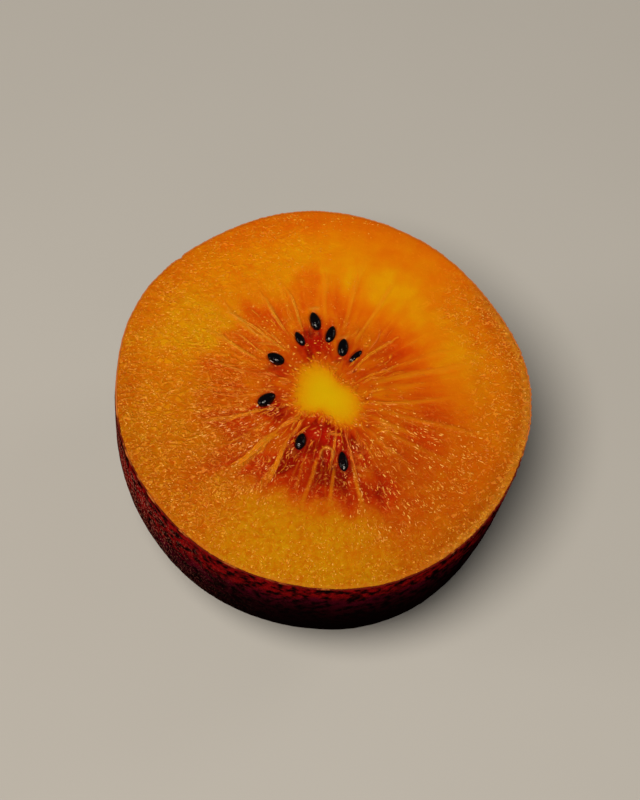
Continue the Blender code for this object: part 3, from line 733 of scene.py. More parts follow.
def fields(x, y):
    """Everything the cut shows at these places, in mm: a dictionary of arrays."""
    dx, dy = x - CORE_AT[0], y - CORE_AT[1]
    r = np.hypot(dx, dy)
    arc = np.arctan2(dy, dx)
    a = np.degrees(arc)
    out = {}
    # Uneven edges: directions and radii wander a little before anything is placed by them.
    wander = 2.6 * around(arc, r, 11, 24, 0.16) + 1.3 * around(arc, r, 12, 70, 0.3)
    drift = 0.9 * around(arc, r, 13, 16, 0.10) + 0.55 * around(arc, r, 14, 60, 0.5)
    drift = drift + 1.3 * around(arc, 0.02 * r, 15, 46, 1.0)
    aw, rw = a + wander, r + drift

    field = core_field(x, y)
    folds = 0.55 * around(arc, r, 21, 44, 0.75) + 0.55 * rough(x * 1.45, y * 1.45, 22, 3, 0.6)
    fray = around(arc, r, 23, 96, 0.55) + 0.6 * around(arc, r, 24, 190, 0.8)
    crumbs = rough(x * 2.5, y * 2.5, 25, 2)
    near = field + (0.13 * folds + 0.085 * fray + 0.12 * crumbs) * step(0.66, 1.0, field)
    core = step(1.30, 0.92, near)

    red = wedge(aw, rw, REDS)
    yellow = wedge(aw, rw, YELLOWS)
    # Between core and rim the colour runs in soft streaks outwards.
    streak = 0.6 * around(arc, r, 31, 54, 0.10) + 0.4 * around(arc, r, 32, 120, 0.16)
    blotch = rough(x * 0.22 + 5.0, y * 0.22, 41, 4)
    ring = step(4.2, 5.6, r) * step(17.5, 12.5, r)
    lq = math.log(0.190) + 0.25 * step(13.5, 17.5, rw) - 1.02 * red + 0.52 * yellow
    lq = lq - 0.22 * step(21.5, 25.0, r) * bell(turned(a, 70.0) / 62.0)
    broad = around(arc + 0.02 * noise(x * 0.9, y * 0.9, 35), r, 34, 84, 0.24) + 0.5 * around(arc, r, 36, 150, 0.45)
    lq = lq + 0.20 * streak * (0.45 + ring) + 0.26 * broad * step(4.6, 6.0, r) * step(13.5, 9.0, r) + 0.13 * blotch + 0.13 * rough(x * 0.55, y * 0.70, 42, 3)
    lq = lq - 0.38 * step(3.9, 4.8, r) * step(8.8, 6.6, r) * (1.0 - 0.85 * bell(turned(a, -8.0) / 42.0))
    # Fine ribs run outwards in the lower right.
    ribs = around(arc, r, 37, 250, 0.55) + 0.7 * around(arc, r, 38, 420, 0.9)
    lq = lq + 0.17 * ribs * bell(turned(a, -45.0) / 42.0) * step(6.0, 8.5, r) * step(21.0, 15.0, r)
    lq = lq + 0.10 * ribs * step(5.0, 6.5, r) * step(12.0, 8.0, r)
    lq = lq + 0.07 * step(11.0, 14.0, r) + 0.10 * rough(x * 0.62 + 4.0, y * 0.85, 43, 2)
    out["red"] = red

    main = 0.0
    for row in FIBRES:
        main = main + fibre(a, r, row)
    broken = 0.5 + 0.5 * around(arc, r, 53, 160, 0.9) + 0.35 * rough(x * 1.3, y * 1.3, 54, 3)
    main = np.clip(main * (0.80 + 0.40 * broken), 0.0, 1.0)
    # Finer fibres between the strong ones, thick as hair, many at the core's edge.
    fine = np.clip(around(arc, r, 51, 170, 0.16) * 1.9 - 0.55 + 0.5 * (broken - 0.5), 0.0, 1.0) * step(5.0, 7.0, r) * step(18.0, 13.0, r)
    torn = 1.0 + 0.45 * rough(x * 1.7, y * 1.7, 55, 3)
    rooty, pink, gap = strands(x + 0.10 * noise(x * 1.3, y * 1.3, 56), y + 0.10 * noise(x * 1.3, y * 1.3, 57))
    rooty = np.clip(rooty * torn, 0.0, 1.0) * (1.0 - 0.6 * core)
    lq = lq - 0.20 * np.clip(gap - rooty, 0.0, 1.0) * (1.0 - core)
    out["main"], out["fine"], out["rooty"], out["folds"] = main, fine, rooty, folds
    pale = np.clip(0.95 * main + 0.30 * fine, 0.0, 1.0)

    q = np.exp(np.clip(lq, math.log(0.03), math.log(0.42)))
    bright = 0.660 * (1.0 - np.exp(-q / 0.066))
    # Painted light and shade: the cut is painted brighter towards the top and upper right and darker at the lower
    # right, the lower left and along the rim; partly the flesh's own tone.
    shade = 0.985 + 0.11 * np.cos(np.radians(turned(a, 92.0))) * step(4.0, 14.0, r)
    shade = shade - 0.10 * bell(turned(a, -42.0) / 34.0) * step(7.0, 13.0, r)
    shade = shade - 0.06 * step(22.5, 25.2, np.hypot(x, y - 1.2))
    shade = shade + 0.075 * step(8.0, 12.0, r) * step(-0.4, 0.4, np.cos(np.radians(turned(a, 38.0))))
    shade = shade - 0.08 * step(9.0, 13.0, r) * bell(turned(a, -155.0) / 30.0) - 0.06 * step(21.0, 24.0, r) * bell(turned(a, 180.0) / 40.0)
    bright = bright * shade
    green = bright * q
    colour = np.stack([bright, green, np.full_like(bright, 0.0012)], -1)

    # Fibres are paler than what lies round them, and more so in the red.
    fibre_colour = np.array([0.665, 0.225, 0.004])
    mixed = np.clip(pale * 0.80, 0.0, 1.0)[..., None]
    colour = colour * (1.0 - mixed) + fibre_colour * shade[..., None] * mixed
    rooty_colour = np.array([0.715, 0.245, 0.008]) * (1.0 - pink[..., None]) + np.array([0.68, 0.155, 0.028]) * pink[..., None]
    mixed = np.clip(rooty * (0.66 + 0.22 * crumbs), 0.0, 1.0)[..., None]
    colour = colour * (1.0 - mixed) + rooty_colour * shade[..., None] * mixed
    # The core is clear yellow in the middle and turns to orange folds at its edge.
    core_q = np.interp(near, (0.0, 0.35, 0.60, 0.75, 0.85, 0.92, 1.0, 1.10, 1.2), (0.615, 0.585, 0.523, 0.455, 0.405, 0.372, 0.327, 0.262, 0.205))
    fold_light = 1.0 + (0.16 * folds + 0.20 * crumbs) * bell((field - 1.05) / 0.22)
    core_red = 0.680 * np.clip(fold_light, 0.7, 1.15)
    core_colour = np.stack([core_red, core_red * core_q * fold_light, 0.0012 + 0.0 * core_q], -1)
    colour = colour * (1.0 - core[..., None]) + core_colour * core[..., None]
    out["colour"], out["core"], out["pale"], out["field"], out["near"] = colour, core, pale, field, near
    return out


def seed_frame(x, y, seed):
    """Along and across a seed, in mm from its middle; along points to its tip."""
    cx, cy, length, width, turn = seed[:5]
    c, s = math.cos(math.radians(turn)), math.sin(math.radians(turn))
    return (x - cx) * c + (y - cy) * s, -(x - cx) * s + (y - cy) * c


# ---------------------------------------------------------------- relief of the cut
# Where the flesh is smooth and glassy rather than grainy: (direction, half width, from radius, to radius, softness, strength).
GLASSY = (
    (70.0, 34.0, 10.5, 30.0, 2.5, 0.80),
    (15.0, 30.0, 7.5, 17.3, 1.6, 0.75),
    (118.0, 20.0, 13.0, 30.0, 3.0, 0.30),
    (152.0, 22.0, 13.0, 30.0, 4.0, 0.20),
    (180.0, 16.0, 17.0, 22.0, 2.0, 0.20),
    (-30.0, 18.0, 13.5, 30.0, 2.5, 0.30),
    (-100.0, 26.0, 14.5, 30.0, 3.0, 0.25),
)
# Dark red stains and hollows: (x, y, half length, half width, turned, strength, depth).
STAINS = (
    (-1.35, 9.35, 0.85, 0.30, 96.0, 0.8, 0.36),
    (-0.35, 9.05, 0.80, 0.20, 88.0, 0.65, 0.18),
    (-0.65, 8.10, 0.95, 0.75, 0.0, 0.34, 0.06),
    (-2.10, 9.10, 0.70, 0.22, 100.0, 0.7, 0.15),
    (-6.05, 4.62, 1.05, 0.50, 8.0, 0.75, 0.18),
    (-6.35, -1.30, 1.45, 0.55, -8.0, 0.85, 0.22),
    (-5.40, -0.55, 0.45, 0.65, 0.0, 0.6, 0.10),
    (2.15, 5.62, 0.85, 0.30, 18.0, 0.70, 0.12),
    (3.35, 5.55, 0.55, 0.30, 40.0, 0.55, 0.10),
    (1.45, -8.10, 1.50, 0.42, 86.0, 0.95, 0.30),
    (3.32, -8.30, 1.35, 0.36, 98.0, 0.75, 0.25),
    (2.35, -9.75, 0.55, 0.50, 90.0, 0.55, 0.15),
    (-3.40, -5.35, 0.95, 0.42, 75.0, 0.75, 0.22),
    (-1.85, -6.00, 0.80, 0.36, 70.0, 0.60, 0.16),
    (-2.75, -6.85, 0.65, 0.50, 80.0, 0.60, 0.16),
    (-0.35, -4.35, 1.25, 0.80, 25.0, 0.70, 0.12),
    (0.45, -7.75, 0.95, 0.50, 84.0, 1.0, 0.42),
    (-0.85, -7.35, 1.10, 0.16, 66.0, 0.75, 0.15),
    (5.45, -3.45, 0.34, 0.22, 30.0, 0.60, 0.12),
    (3.90, 4.05, 0.28, 0.18, 30.0, 0.70, 0.14),
    (5.70, 0.75, 0.30, 0.14, 50.0, 0.70, 0.10),
    (5.35, 0.25, 0.24, 0.14, 20.0, 0.60, 0.10),
    (2.55, 2.75, 0.26, 0.14, 100.0, 0.55, 0.10),
    (-5.10, 3.35, 0.45, 0.16, 165.0, 0.55, 0.12),
    (-1.05, -11.4, 1.20, 0.40, 84.0, 0.40, 0.06),
    (6.70, -11.6, 1.10, 0.40, 80.0, 0.35, 0.06),
)
# Pale bits that stand a little proud, in the same form.
PALES = (
    (-0.98, 12.75, 0.62, 0.26, 4.0, 0.75, -0.10),
    (2.62, 8.70, 0.75, 0.20, 14.0, 0.60, -0.08),
    (-6.95, 1.55, 1.20, 0.12, 6.0, 0.50, -0.05),
    (1.30, -4.45, 0.75, 0.12, -4.0, 0.75, -0.08),
    (4.55, -9.05, 0.95, 0.22, -18.0, 0.55, -0.06),
    (-3.40, -7.05, 0.40, 0.30, 60.0, 0.20, -0.03),
    (7.60, -3.30, 1.05, 0.30, -22.0, 0.40, -0.05),
    (4.55, -7.60, 0.40, 0.20, -40.0, 0.55, -0.06),
)
# Where the flesh is stained deep red, in the same form.
CRIMSONS = (
    (-0.78, -4.47, 1.20, 1.04, 0.0, 0.92),
    (0.50, -4.79, 0.64, 1.28, 0.0, 0.92),
    (1.98, -5.59, 0.36, 0.88, 0.0, 0.92),
    (3.06, -7.19, 0.28, 1.12, 10.0, 0.45),
    (-2.46, -7.43, 1.28, 0.96, 0.0, 0.35),
    (-3.58, -5.59, 0.40, 0.80, 0.0, 0.45),
    (-1.66, 8.01, 1.28, 0.80, 0.0, 0.60),
    (-0.62, 8.33, 0.48, 0.96, 0.0, 0.70),
    (-0.54, 7.10, 0.90, 0.70, 0.0, 0.42),
    (0.91, 7.20, 0.50, 0.50, 0.0, 0.40),
    (-2.46, 7.45, 0.40, 0.40, 0.0, 0.45),
    (1.94, 5.89, 0.56, 0.28, 0.0, 0.75),
    (3.06, 6.09, 0.36, 0.72, -30.0, 0.60),
    (3.46, 7.05, 0.24, 0.40, 0.0, 0.35),
    (0.74, 7.85, 0.48, 0.40, 0.0, 0.40),
    (-6.06, 4.41, 0.64, 0.40, 0.0, 0.40),
    (-4.70, 3.37, 0.28, 0.16, 0.0, 0.40),
    (-6.14, -1.59, 1.04, 0.48, 0.0, 0.50),
    (-5.50, -0.47, 0.48, 0.40, 0.0, 0.50),
    (-0.62, -7.19, 0.40, 0.96, -15.0, 0.50),
    (0.66, -7.83, 0.48, 0.96, 0.0, 0.60),
    (1.54, -7.67, 0.28, 0.96, 5.0, 0.70),
)
# The empty pocket's torn, curled lip: middle, radius across, radius along.
CURL = (0.52, -7.30, 0.78, 1.02)


def patch(x, y, row):
    """How much of one stain or pale bit is here."""
    cx, cy, long, wide, turn = row[:5]
    c, s = math.cos(math.radians(turn)), math.sin(math.radians(turn))
    u, v = (x - cx) * c + (y - cy) * s, -(x - cx) * s + (y - cy) * c
    return bell(np.hypot(u / long, v / wide) ** 1.5)


def curl(x, y):
    """The curled lip runs round the far side of the empty pocket."""
    cx, cy, across, along = CURL
    u, v = (x - cx) / across, (y - cy) / along
    turn = np.degrees(np.arctan2(v, u))
    thick = 0.16 + 0.05 * np.sin(np.radians(turn) * 5.0)
    return bell((np.hypot(u, v) - 1.0) / thick) * step(118.0, 84.0, np.abs(turned(turn, 82.0)))


def raised(x, y):
    """How far up the picture the cut's swelling moves what lies here, in mm along the cut."""
    fx, fy = x - FACE_AT[0], y - FACE_AT[1]
    share = np.hypot(fx, fy) / outline(np.arctan2(fy, fx))
    return 0.53 * (FACE_CROWN * (1.0 - np.minimum(share, 1.0) ** 4) - 0.02)


def face_at(x, y):
    """Colour, height above the cut plane and wetness of the cut at these places."""
    out = fields(x, y)
    dx, dy = x - CORE_AT[0], y - CORE_AT[1]
    r = np.hypot(dx, dy)
    arc = np.arctan2(dy, dx)
    a = np.degrees(arc)
    fx, fy = x - FACE_AT[0], y - FACE_AT[1]
    share = np.hypot(fx, fy) / outline(np.arctan2(fy, fx))
    colour, core = out["colour"], out["core"]

    glassy = np.clip(wedge(a, r, GLASSY), 0.0, 1.0)
    patchy = 1.0 + 0.30 * rough(x * 0.40, y * 0.40, 61, 3)
    grain = (1.0 - np.clip(glassy, 0.0, 1.0)) * patchy * step(0.80, 1.10, out["near"])

    # The small marks on the cut: ripples to the left, scraps in the red flesh and below, dots along the rim, soft lumps
    # below. The ripples and squiggles carry painted light and shade as well as the pale pulp, and the dots are painted
    # highlights.
    lumps = rough(x / 1.5, y / 1.2, 81, 3)
    red = np.clip(out["red"], 0.0, 1.0)
    rimmed = step(0.84, 0.93, share + 0.025 * rough(x * 0.5, y * 0.5, 63, 3))
    left = step(62.0, 36.0, np.abs(turned(a, -172.0))) * step(8.0, 12.0, r)
    leftish = step(50.0, 28.0, np.abs(turned(a, -170.0))) * step(8.0, 12.0, r)
    above = step(52.0, 30.0, np.abs(turned(a, 118.0))) * step(0.62, 0.80, share + 0.06 * rough(x * 0.3, y * 0.3, 67, 2))
    below = bell(turned(a, -98.0) / 42.0) * step(13.0, 16.0, r)
    lower = bell(turned(a, -150.0) / 34.0) * step(8.0, 11.0, r)
    right = step(58.0, 40.0, np.abs(turned(a, -4.0))) * step(0.66, 0.82, share + 0.04 * rough(x * 0.4, y * 0.4, 68, 2))
    outer = step(6.8, 10.8, r)
    ripples = grain * np.clip(0.95 * above + 0.10 * left, 0.0, 1.0)
    squiggles = grain * np.clip(0.14 + 0.86 * leftish * (1.0 - 0.25 * lower) - 0.10 * below, 0.0, 1.0) * (0.2 + 0.8 * outer) * (1.0 - 0.8 * above)
    scraps = patchy * step(0.80, 1.10, out["near"]) * np.clip((0.34 + 0.62 * lower + 0.30 * red + 0.12 * left - 0.34 * below - 0.2 * above) * (1.0 - glassy) + 0.60 * right, 0.0, 1.0) * (0.25 + 0.75 * outer)
    dots = grain * np.clip(0.20 + 0.66 * rimmed + 0.50 * below + 0.55 * left * step(14.0, 19.0, r) + 0.15 * left, 0.0, 1.0) * (0.10 + 0.90 * outer) * (1.0 - 0.5 * np.minimum(red, 1.0))
    blobs = np.clip((1.15 * below + 0.30 * left + 0.62 * (left - leftish) + 0.30 * rimmed) * grain + 0.45 * right * step(0.90, 0.95, share), 0.0, 1.0)

    height = FACE_CROWN * (1.0 - share**4)
    height = height + 0.10 * rough(x / 6.0 + 3.0, y / 6.0, 82, 3) * step(1.0, 0.93, share)
    height = height + 0.075 * lumps * grain
    height = height + 0.115 * out["main"] + 0.03 * out["fine"] + 0.10 * out["rooty"]
    height = height + 0.05 * core - 0.04 * bell((out["near"] - 1.30) / 0.16)
    height = height + 0.07 * out["folds"] * bell((out["field"] - 1.05) / 0.22)
    height = height - 0.07 * np.clip(out["red"], 0.0, 1.3) * (1.0 - core)
    height = height - 0.10 * step(0.985, 1.0, share)

    # The red flesh is strong in colour, and the right rim a little darker.
    colour = colour * np.stack([1.0 + 0.17 * step(0.35, 0.9, out["red"]) * (1.0 - core), 1.0 + 0.0 * x, 1.0 + 0.0 * x], -1)
    colour = colour * (1.0 - 0.07 * (right * step(0.86, 0.93, share))[..., None])
    # The lumps show in the colour as well.
    tone = 1.0 + grain * 0.13 * lumps
    colour = colour * np.stack([0.35 + 0.65 * tone, tone, tone], -1)
    colour = colour * np.stack([1.0 - 0.07 * grain, 1.0 - 0.12 * grain, 1.0 - 0.12 * grain], -1)

    stain = np.zeros_like(x)
    for row in STAINS:
        p = patch(x, y, row) * (0.8 + 0.4 * noise(x * 2.2, y * 2.2, 91))
        stain = np.maximum(stain, row[5] * p)
        height = height - row[6] * np.clip(p, 0.0, 1.0)
    dark_red = np.array([0.165, 0.0040, 0.0030])
    colour = colour * (1.0 - 0.88 * stain[..., None]) + dark_red * 0.88 * stain[..., None]

    pale = np.zeros_like(x)
    for row in PALES:
        p = patch(x, y, row)
        pale = np.maximum(pale, row[5] * p)
        height = height - row[6] * p
    for row in CRIMSONS:
        p = np.clip(row[5] * patch(x, y, row), 0.0, 1.0)[..., None] * (1.0 - 0.8 * np.clip(out["rooty"], 0.0, 1.0))[..., None]
        colour = colour * (1.0 - p) + np.array([0.44, 0.0056, 0.0018]) * p
    # Painted highlights: each glint is painted into the flesh colour as a pale spot.
    for row in GLINTS:
        p = patch(x, y, row)
        shine = np.array([0.84, 0.34, 0.035]) * (1.0 - row[6]) + np.array([0.82, 0.28, 0.060]) * row[6]
        p = np.clip(0.5 * row[5] * p, 0.0, 1.0)
        height = height + 0.03 * p
        colour = colour * (1.0 - p[..., None]) + shine * p[..., None]
    lip = curl(x, y)
    pale = np.maximum(pale, 0.85 * lip)
    height = height + 0.17 * lip
    pale_colour = np.array([0.70, 0.27, 0.02])
    colour = colour * (1.0 - 0.8 * pale[..., None]) + pale_colour * 0.8 * pale[..., None]

    # Seeds lie in pockets that fit them closely.
    for seed in SEEDS:
        u, v = seed_frame(x, y, seed)
        e = np.hypot(u / (seed[2] / 2.0), v / (seed[3] / 2.0))
        pocket = step(1.12, 0.70, e)
        height = height - (0.40 + seed[5]) * pocket
        # Round each seed a dark red ring is painted at the pocket's edge: partly the red gel round the seeds, partly
        # painted shade in the pocket.
        under = bell((e - 0.9) / 0.35)
        near_red = np.array([0.27, 0.0065, 0.003])
        colour = colour * (1.0 - 0.45 * under[..., None]) + near_red * 0.45 * under[..., None]

    wet = np.clip(0.60 + 0.35 * np.clip(out["red"], 0.0, 1.0) + 0.5 * stain - 0.6 * step(1.0, 0.7, out["near"]), 0.0, 1.0)
    # The rim on the right is ragged: a yellower, lumpy band, with darker flesh inside it.
    right = step(58.0, 40.0, np.abs(turned(a, -12.0)))
    crumbs = rough(x * 1.9, y * 1.9, 65, 2)
    colour = colour * (1.0 - np.array([0.08, 0.14, 0.0]) * (right * step(0.86, 0.93, share))[..., None])
    ragged = right * step(0.945, 0.972, share + 0.016 * rough(x * 0.9, y * 0.9, 66, 2))
    colour = colour * (1.0 - 0.60 * ragged[..., None]) + np.array([0.56, 0.205, 0.010]) * np.clip(1.0 + 0.55 * crumbs, 0.3, 1.7)[..., None] * 0.60 * ragged[..., None]
    height = height + 0.06 * crumbs * ragged
    wet = wet - 2.4 * bell(turned(a, -95.0) / 55.0) * step(0.968, 0.99, share)
    return colour, height, wet, np.stack([ripples, scraps, dots], -1), blobs, squiggles


# ---------------------------------------------------------------- meshes
def mesh_piece(name, points, faces, material, smooth=True):
    """A mesh object from points in metres and faces given as a list of whole-number arrays, one row a face."""
    mesh = bpy.data.meshes.new(name)
    loops = np.concatenate([f.ravel() for f in faces]).astype(np.int32)
    counts = np.concatenate([np.full(len(f), f.shape[1]) for f in faces]).astype(np.int32)
    starts = np.concatenate([[0], np.cumsum(counts)[:-1]]).astype(np.int32)
    mesh.vertices.add(len(points))
    mesh.vertices.foreach_set("co", np.asarray(points, np.float32).ravel())
    mesh.loops.add(len(loops))
    mesh.loops.foreach_set("vertex_index", loops)
    mesh.polygons.add(len(counts))
    mesh.polygons.foreach_set("loop_start", starts)
    mesh.polygons.foreach_set("loop_total", counts)
    mesh.polygons.foreach_set("use_smooth", np.full(len(counts), smooth))
    mesh.update(calc_edges=True)
    mesh.validate()
    mesh.materials.append(material)
    piece = bpy.data.objects.new(name, mesh)
    bpy.context.scene.collection.objects.link(piece)
    return piece


def put(mesh, name, values):
    """One number or one colour for each point."""
    values = np.asarray(values, np.float32)
    if values.ndim == 2:
        layer = mesh.color_attributes.new(name, "FLOAT_COLOR", "POINT")
        layer.data.foreach_set("color", np.concatenate([values, np.ones((len(values), 1), np.float32)], 1).ravel())
    else:
        layer = mesh.attributes.new(name, "FLOAT", "POINT")
        layer.data.foreach_set("value", values)


def disc(n):
    """A square grid drawn onto a disc, so that its points are evenly spaced: direction, share of the radius, quads and rim."""
    line = np.linspace(-1.0, 1.0, n + 1)
    u, v = np.meshgrid(line, line)
    big, other = np.where(np.abs(u) > np.abs(v), u, v), np.where(np.abs(u) > np.abs(v), v, u)
    with np.errstate(divide="ignore", invalid="ignore"):
        lean = np.where(big == 0.0, 0.0, other / np.where(big == 0.0, 1.0, big)) * math.pi / 4.0
    arc = np.where(np.abs(u) > np.abs(v), lean, math.pi / 2.0 - lean)
    x, y = big * np.cos(arc), big * np.sin(arc)
    index = np.arange((n + 1) ** 2).reshape(n + 1, n + 1)
    quads = np.stack([index[:-1, :-1], index[:-1, 1:], index[1:, 1:], index[1:, :-1]], -1).reshape(-1, 4)
    rim = np.concatenate([index[0, :-1], index[:-1, -1], index[-1, :0:-1], index[:0:-1, 0]])
    return np.arctan2(y, x).ravel(), np.hypot(x, y).ravel(), quads, rim


def band(upper, lower):
    """Quads between two rings of as many points, upper and lower both anticlockwise from above, facing out."""
    return np.stack([upper, lower, np.roll(lower, -1), np.roll(upper, -1)], -1)


def narrowing(many, few):
    """Triangles from a ring of many points to one below with a whole fraction as many, facing out."""
    ratio = len(many) // len(few)
    half = ratio // 2
    found = []
    for i in range(len(few)):
        here, after = few[i], few[(i + 1) % len(few)]
        for k in range(ratio):
            j = i * ratio + k
            a, b = many[j % len(many)], many[(j + 1) % len(many)]
            found.append((a, here if k < half else after, b))
            if k == half:
                found[-1] = (a, after, b)
                found.append((a, here, after))
    return np.array(found)


# ---------------------------------------------------------------- materials
def new_material(name):
    material = bpy.data.materials.new(name)
    material.use_nodes = True
    tree = material.node_tree
    return material, tree, tree.nodes["Principled BSDF"]


class Web:
    """Short forms for making and joining nodes."""

    def __init__(self, tree):
        self.tree = tree

    def node(self, kind, inputs=None, **settings):
        made = self.tree.nodes.new(kind)
        for key, value in settings.items():
            setattr(made, key, value)
        for key, value in (inputs or {}).items():
            self.feed(made.inputs[key], value)
        return made

    def feed(self, socket, value):
        if isinstance(value, bpy.types.NodeSocket):
            self.tree.links.new(value, socket)
        elif isinstance(value, bpy.types.Node):
            self.tree.links.new(value.outputs[0], socket)
        else:
            socket.default_value = value

    def math(self, operation, a, b=0.0, clamp=False):
        return self.node("ShaderNodeMath", {0: a, 1: b}, operation=operation, use_clamp=clamp).outputs[0]

    def vector(self, operation, a, b=(0.0, 0.0, 0.0)):
        made = self.node("ShaderNodeVectorMath", {0: a, 1: b}, operation=operation)
        return made.outputs["Value"] if operation in ("LENGTH", "DOT_PRODUCT", "DISTANCE") else made.outputs[0]

    def mix(self, share, a, b, how="MIX"):
        made = self.node("ShaderNodeMix", data_type="RGBA", blend_type=how)
        self.feed(made.inputs["Factor"], share)
        self.feed(made.inputs["A"], a)
        self.feed(made.inputs["B"], b)
        return made.outputs["Result"]

    def blend(self, share, a, b):
        made = self.node("ShaderNodeMix", data_type="FLOAT")
        self.feed(made.inputs["Factor"], share)
        self.feed(made.inputs["A"], a)
        self.feed(made.inputs["B"], b)
        return made.outputs["Result"]

    def ramp(self, value, low, high, to_low=0.0, to_high=1.0):
        made = self.node("ShaderNodeMapRange", interpolation_type="SMOOTHSTEP")
        for key, item in (("Value", value), ("From Min", low), ("From Max", high), ("To Min", to_low), ("To Max", to_high)):
            self.feed(made.inputs[key], item)
        return made.outputs["Result"]

    def noise(self, vector, scale, detail=2.0, roughness=0.5, distortion=0.0):
        made = self.node("ShaderNodeTexNoise", {"Scale": scale, "Detail": detail, "Roughness": roughness, "Distortion": distortion})
        self.feed(made.inputs["Vector"], vector)
        return made.outputs["Fac"]

    def cells(self, vector, scale, feature="F1", randomness=1.0):
        made = self.node("ShaderNodeTexVoronoi", {"Scale": scale, "Randomness": randomness}, feature=feature)
        self.feed(made.inputs["Vector"], vector)
        return made


    def marks(self, vector, scale, long, wide, spread, bend, share):
        """One short bent stroke in each cell of a sheet: how much of it is here, and how much of the shadow below it."""
        cell = self.node("ShaderNodeTexVoronoi", {"Vector": vector, "Scale": scale, "Randomness": 1.0}, voronoi_dimensions="2D")
        chance = self.node("ShaderNodeSeparateColor", {"Color": cell.outputs["Color"]})
        lean = self.math("MULTIPLY", self.math("SUBTRACT", chance.outputs["Red"], 0.5), 2.0 * math.radians(spread))
        away = self.vector("SUBTRACT", vector, cell.outputs["Position"])
        away = self.node("ShaderNodeVectorRotate", {"Vector": away, "Angle": lean}, rotation_type="Z_AXIS").outputs[0]
        away = self.node("ShaderNodeSeparateXYZ", {"Vector": away})
        u, v = away.outputs["X"], away.outputs["Y"]
        curve = self.math("MULTIPLY", self.math("SUBTRACT", chance.outputs["Green"], 0.5), 2.0 * bend)
        v = self.math("ADD", v, self.math("MULTIPLY", self.math("MULTIPLY", u, u), curve))
        u, v = self.math("DIVIDE", u, long), self.math("DIVIDE", v, wide)
        u = self.math("MULTIPLY", u, u)
        on = self.ramp(chance.outputs["Blue"], 1.0 - share, 1.3 - share)
        found = []
        for sunk in (0.0, 1.5):
            w = self.math("ADD", v, sunk)
            e = self.math("ADD", u, self.math("MULTIPLY", w, w))
            found.append(self.math("MULTIPLY", self.ramp(e, 1.9, 0.0), on))
        return found


def colour(r, g, b):
    return (r, g, b, 1.0)


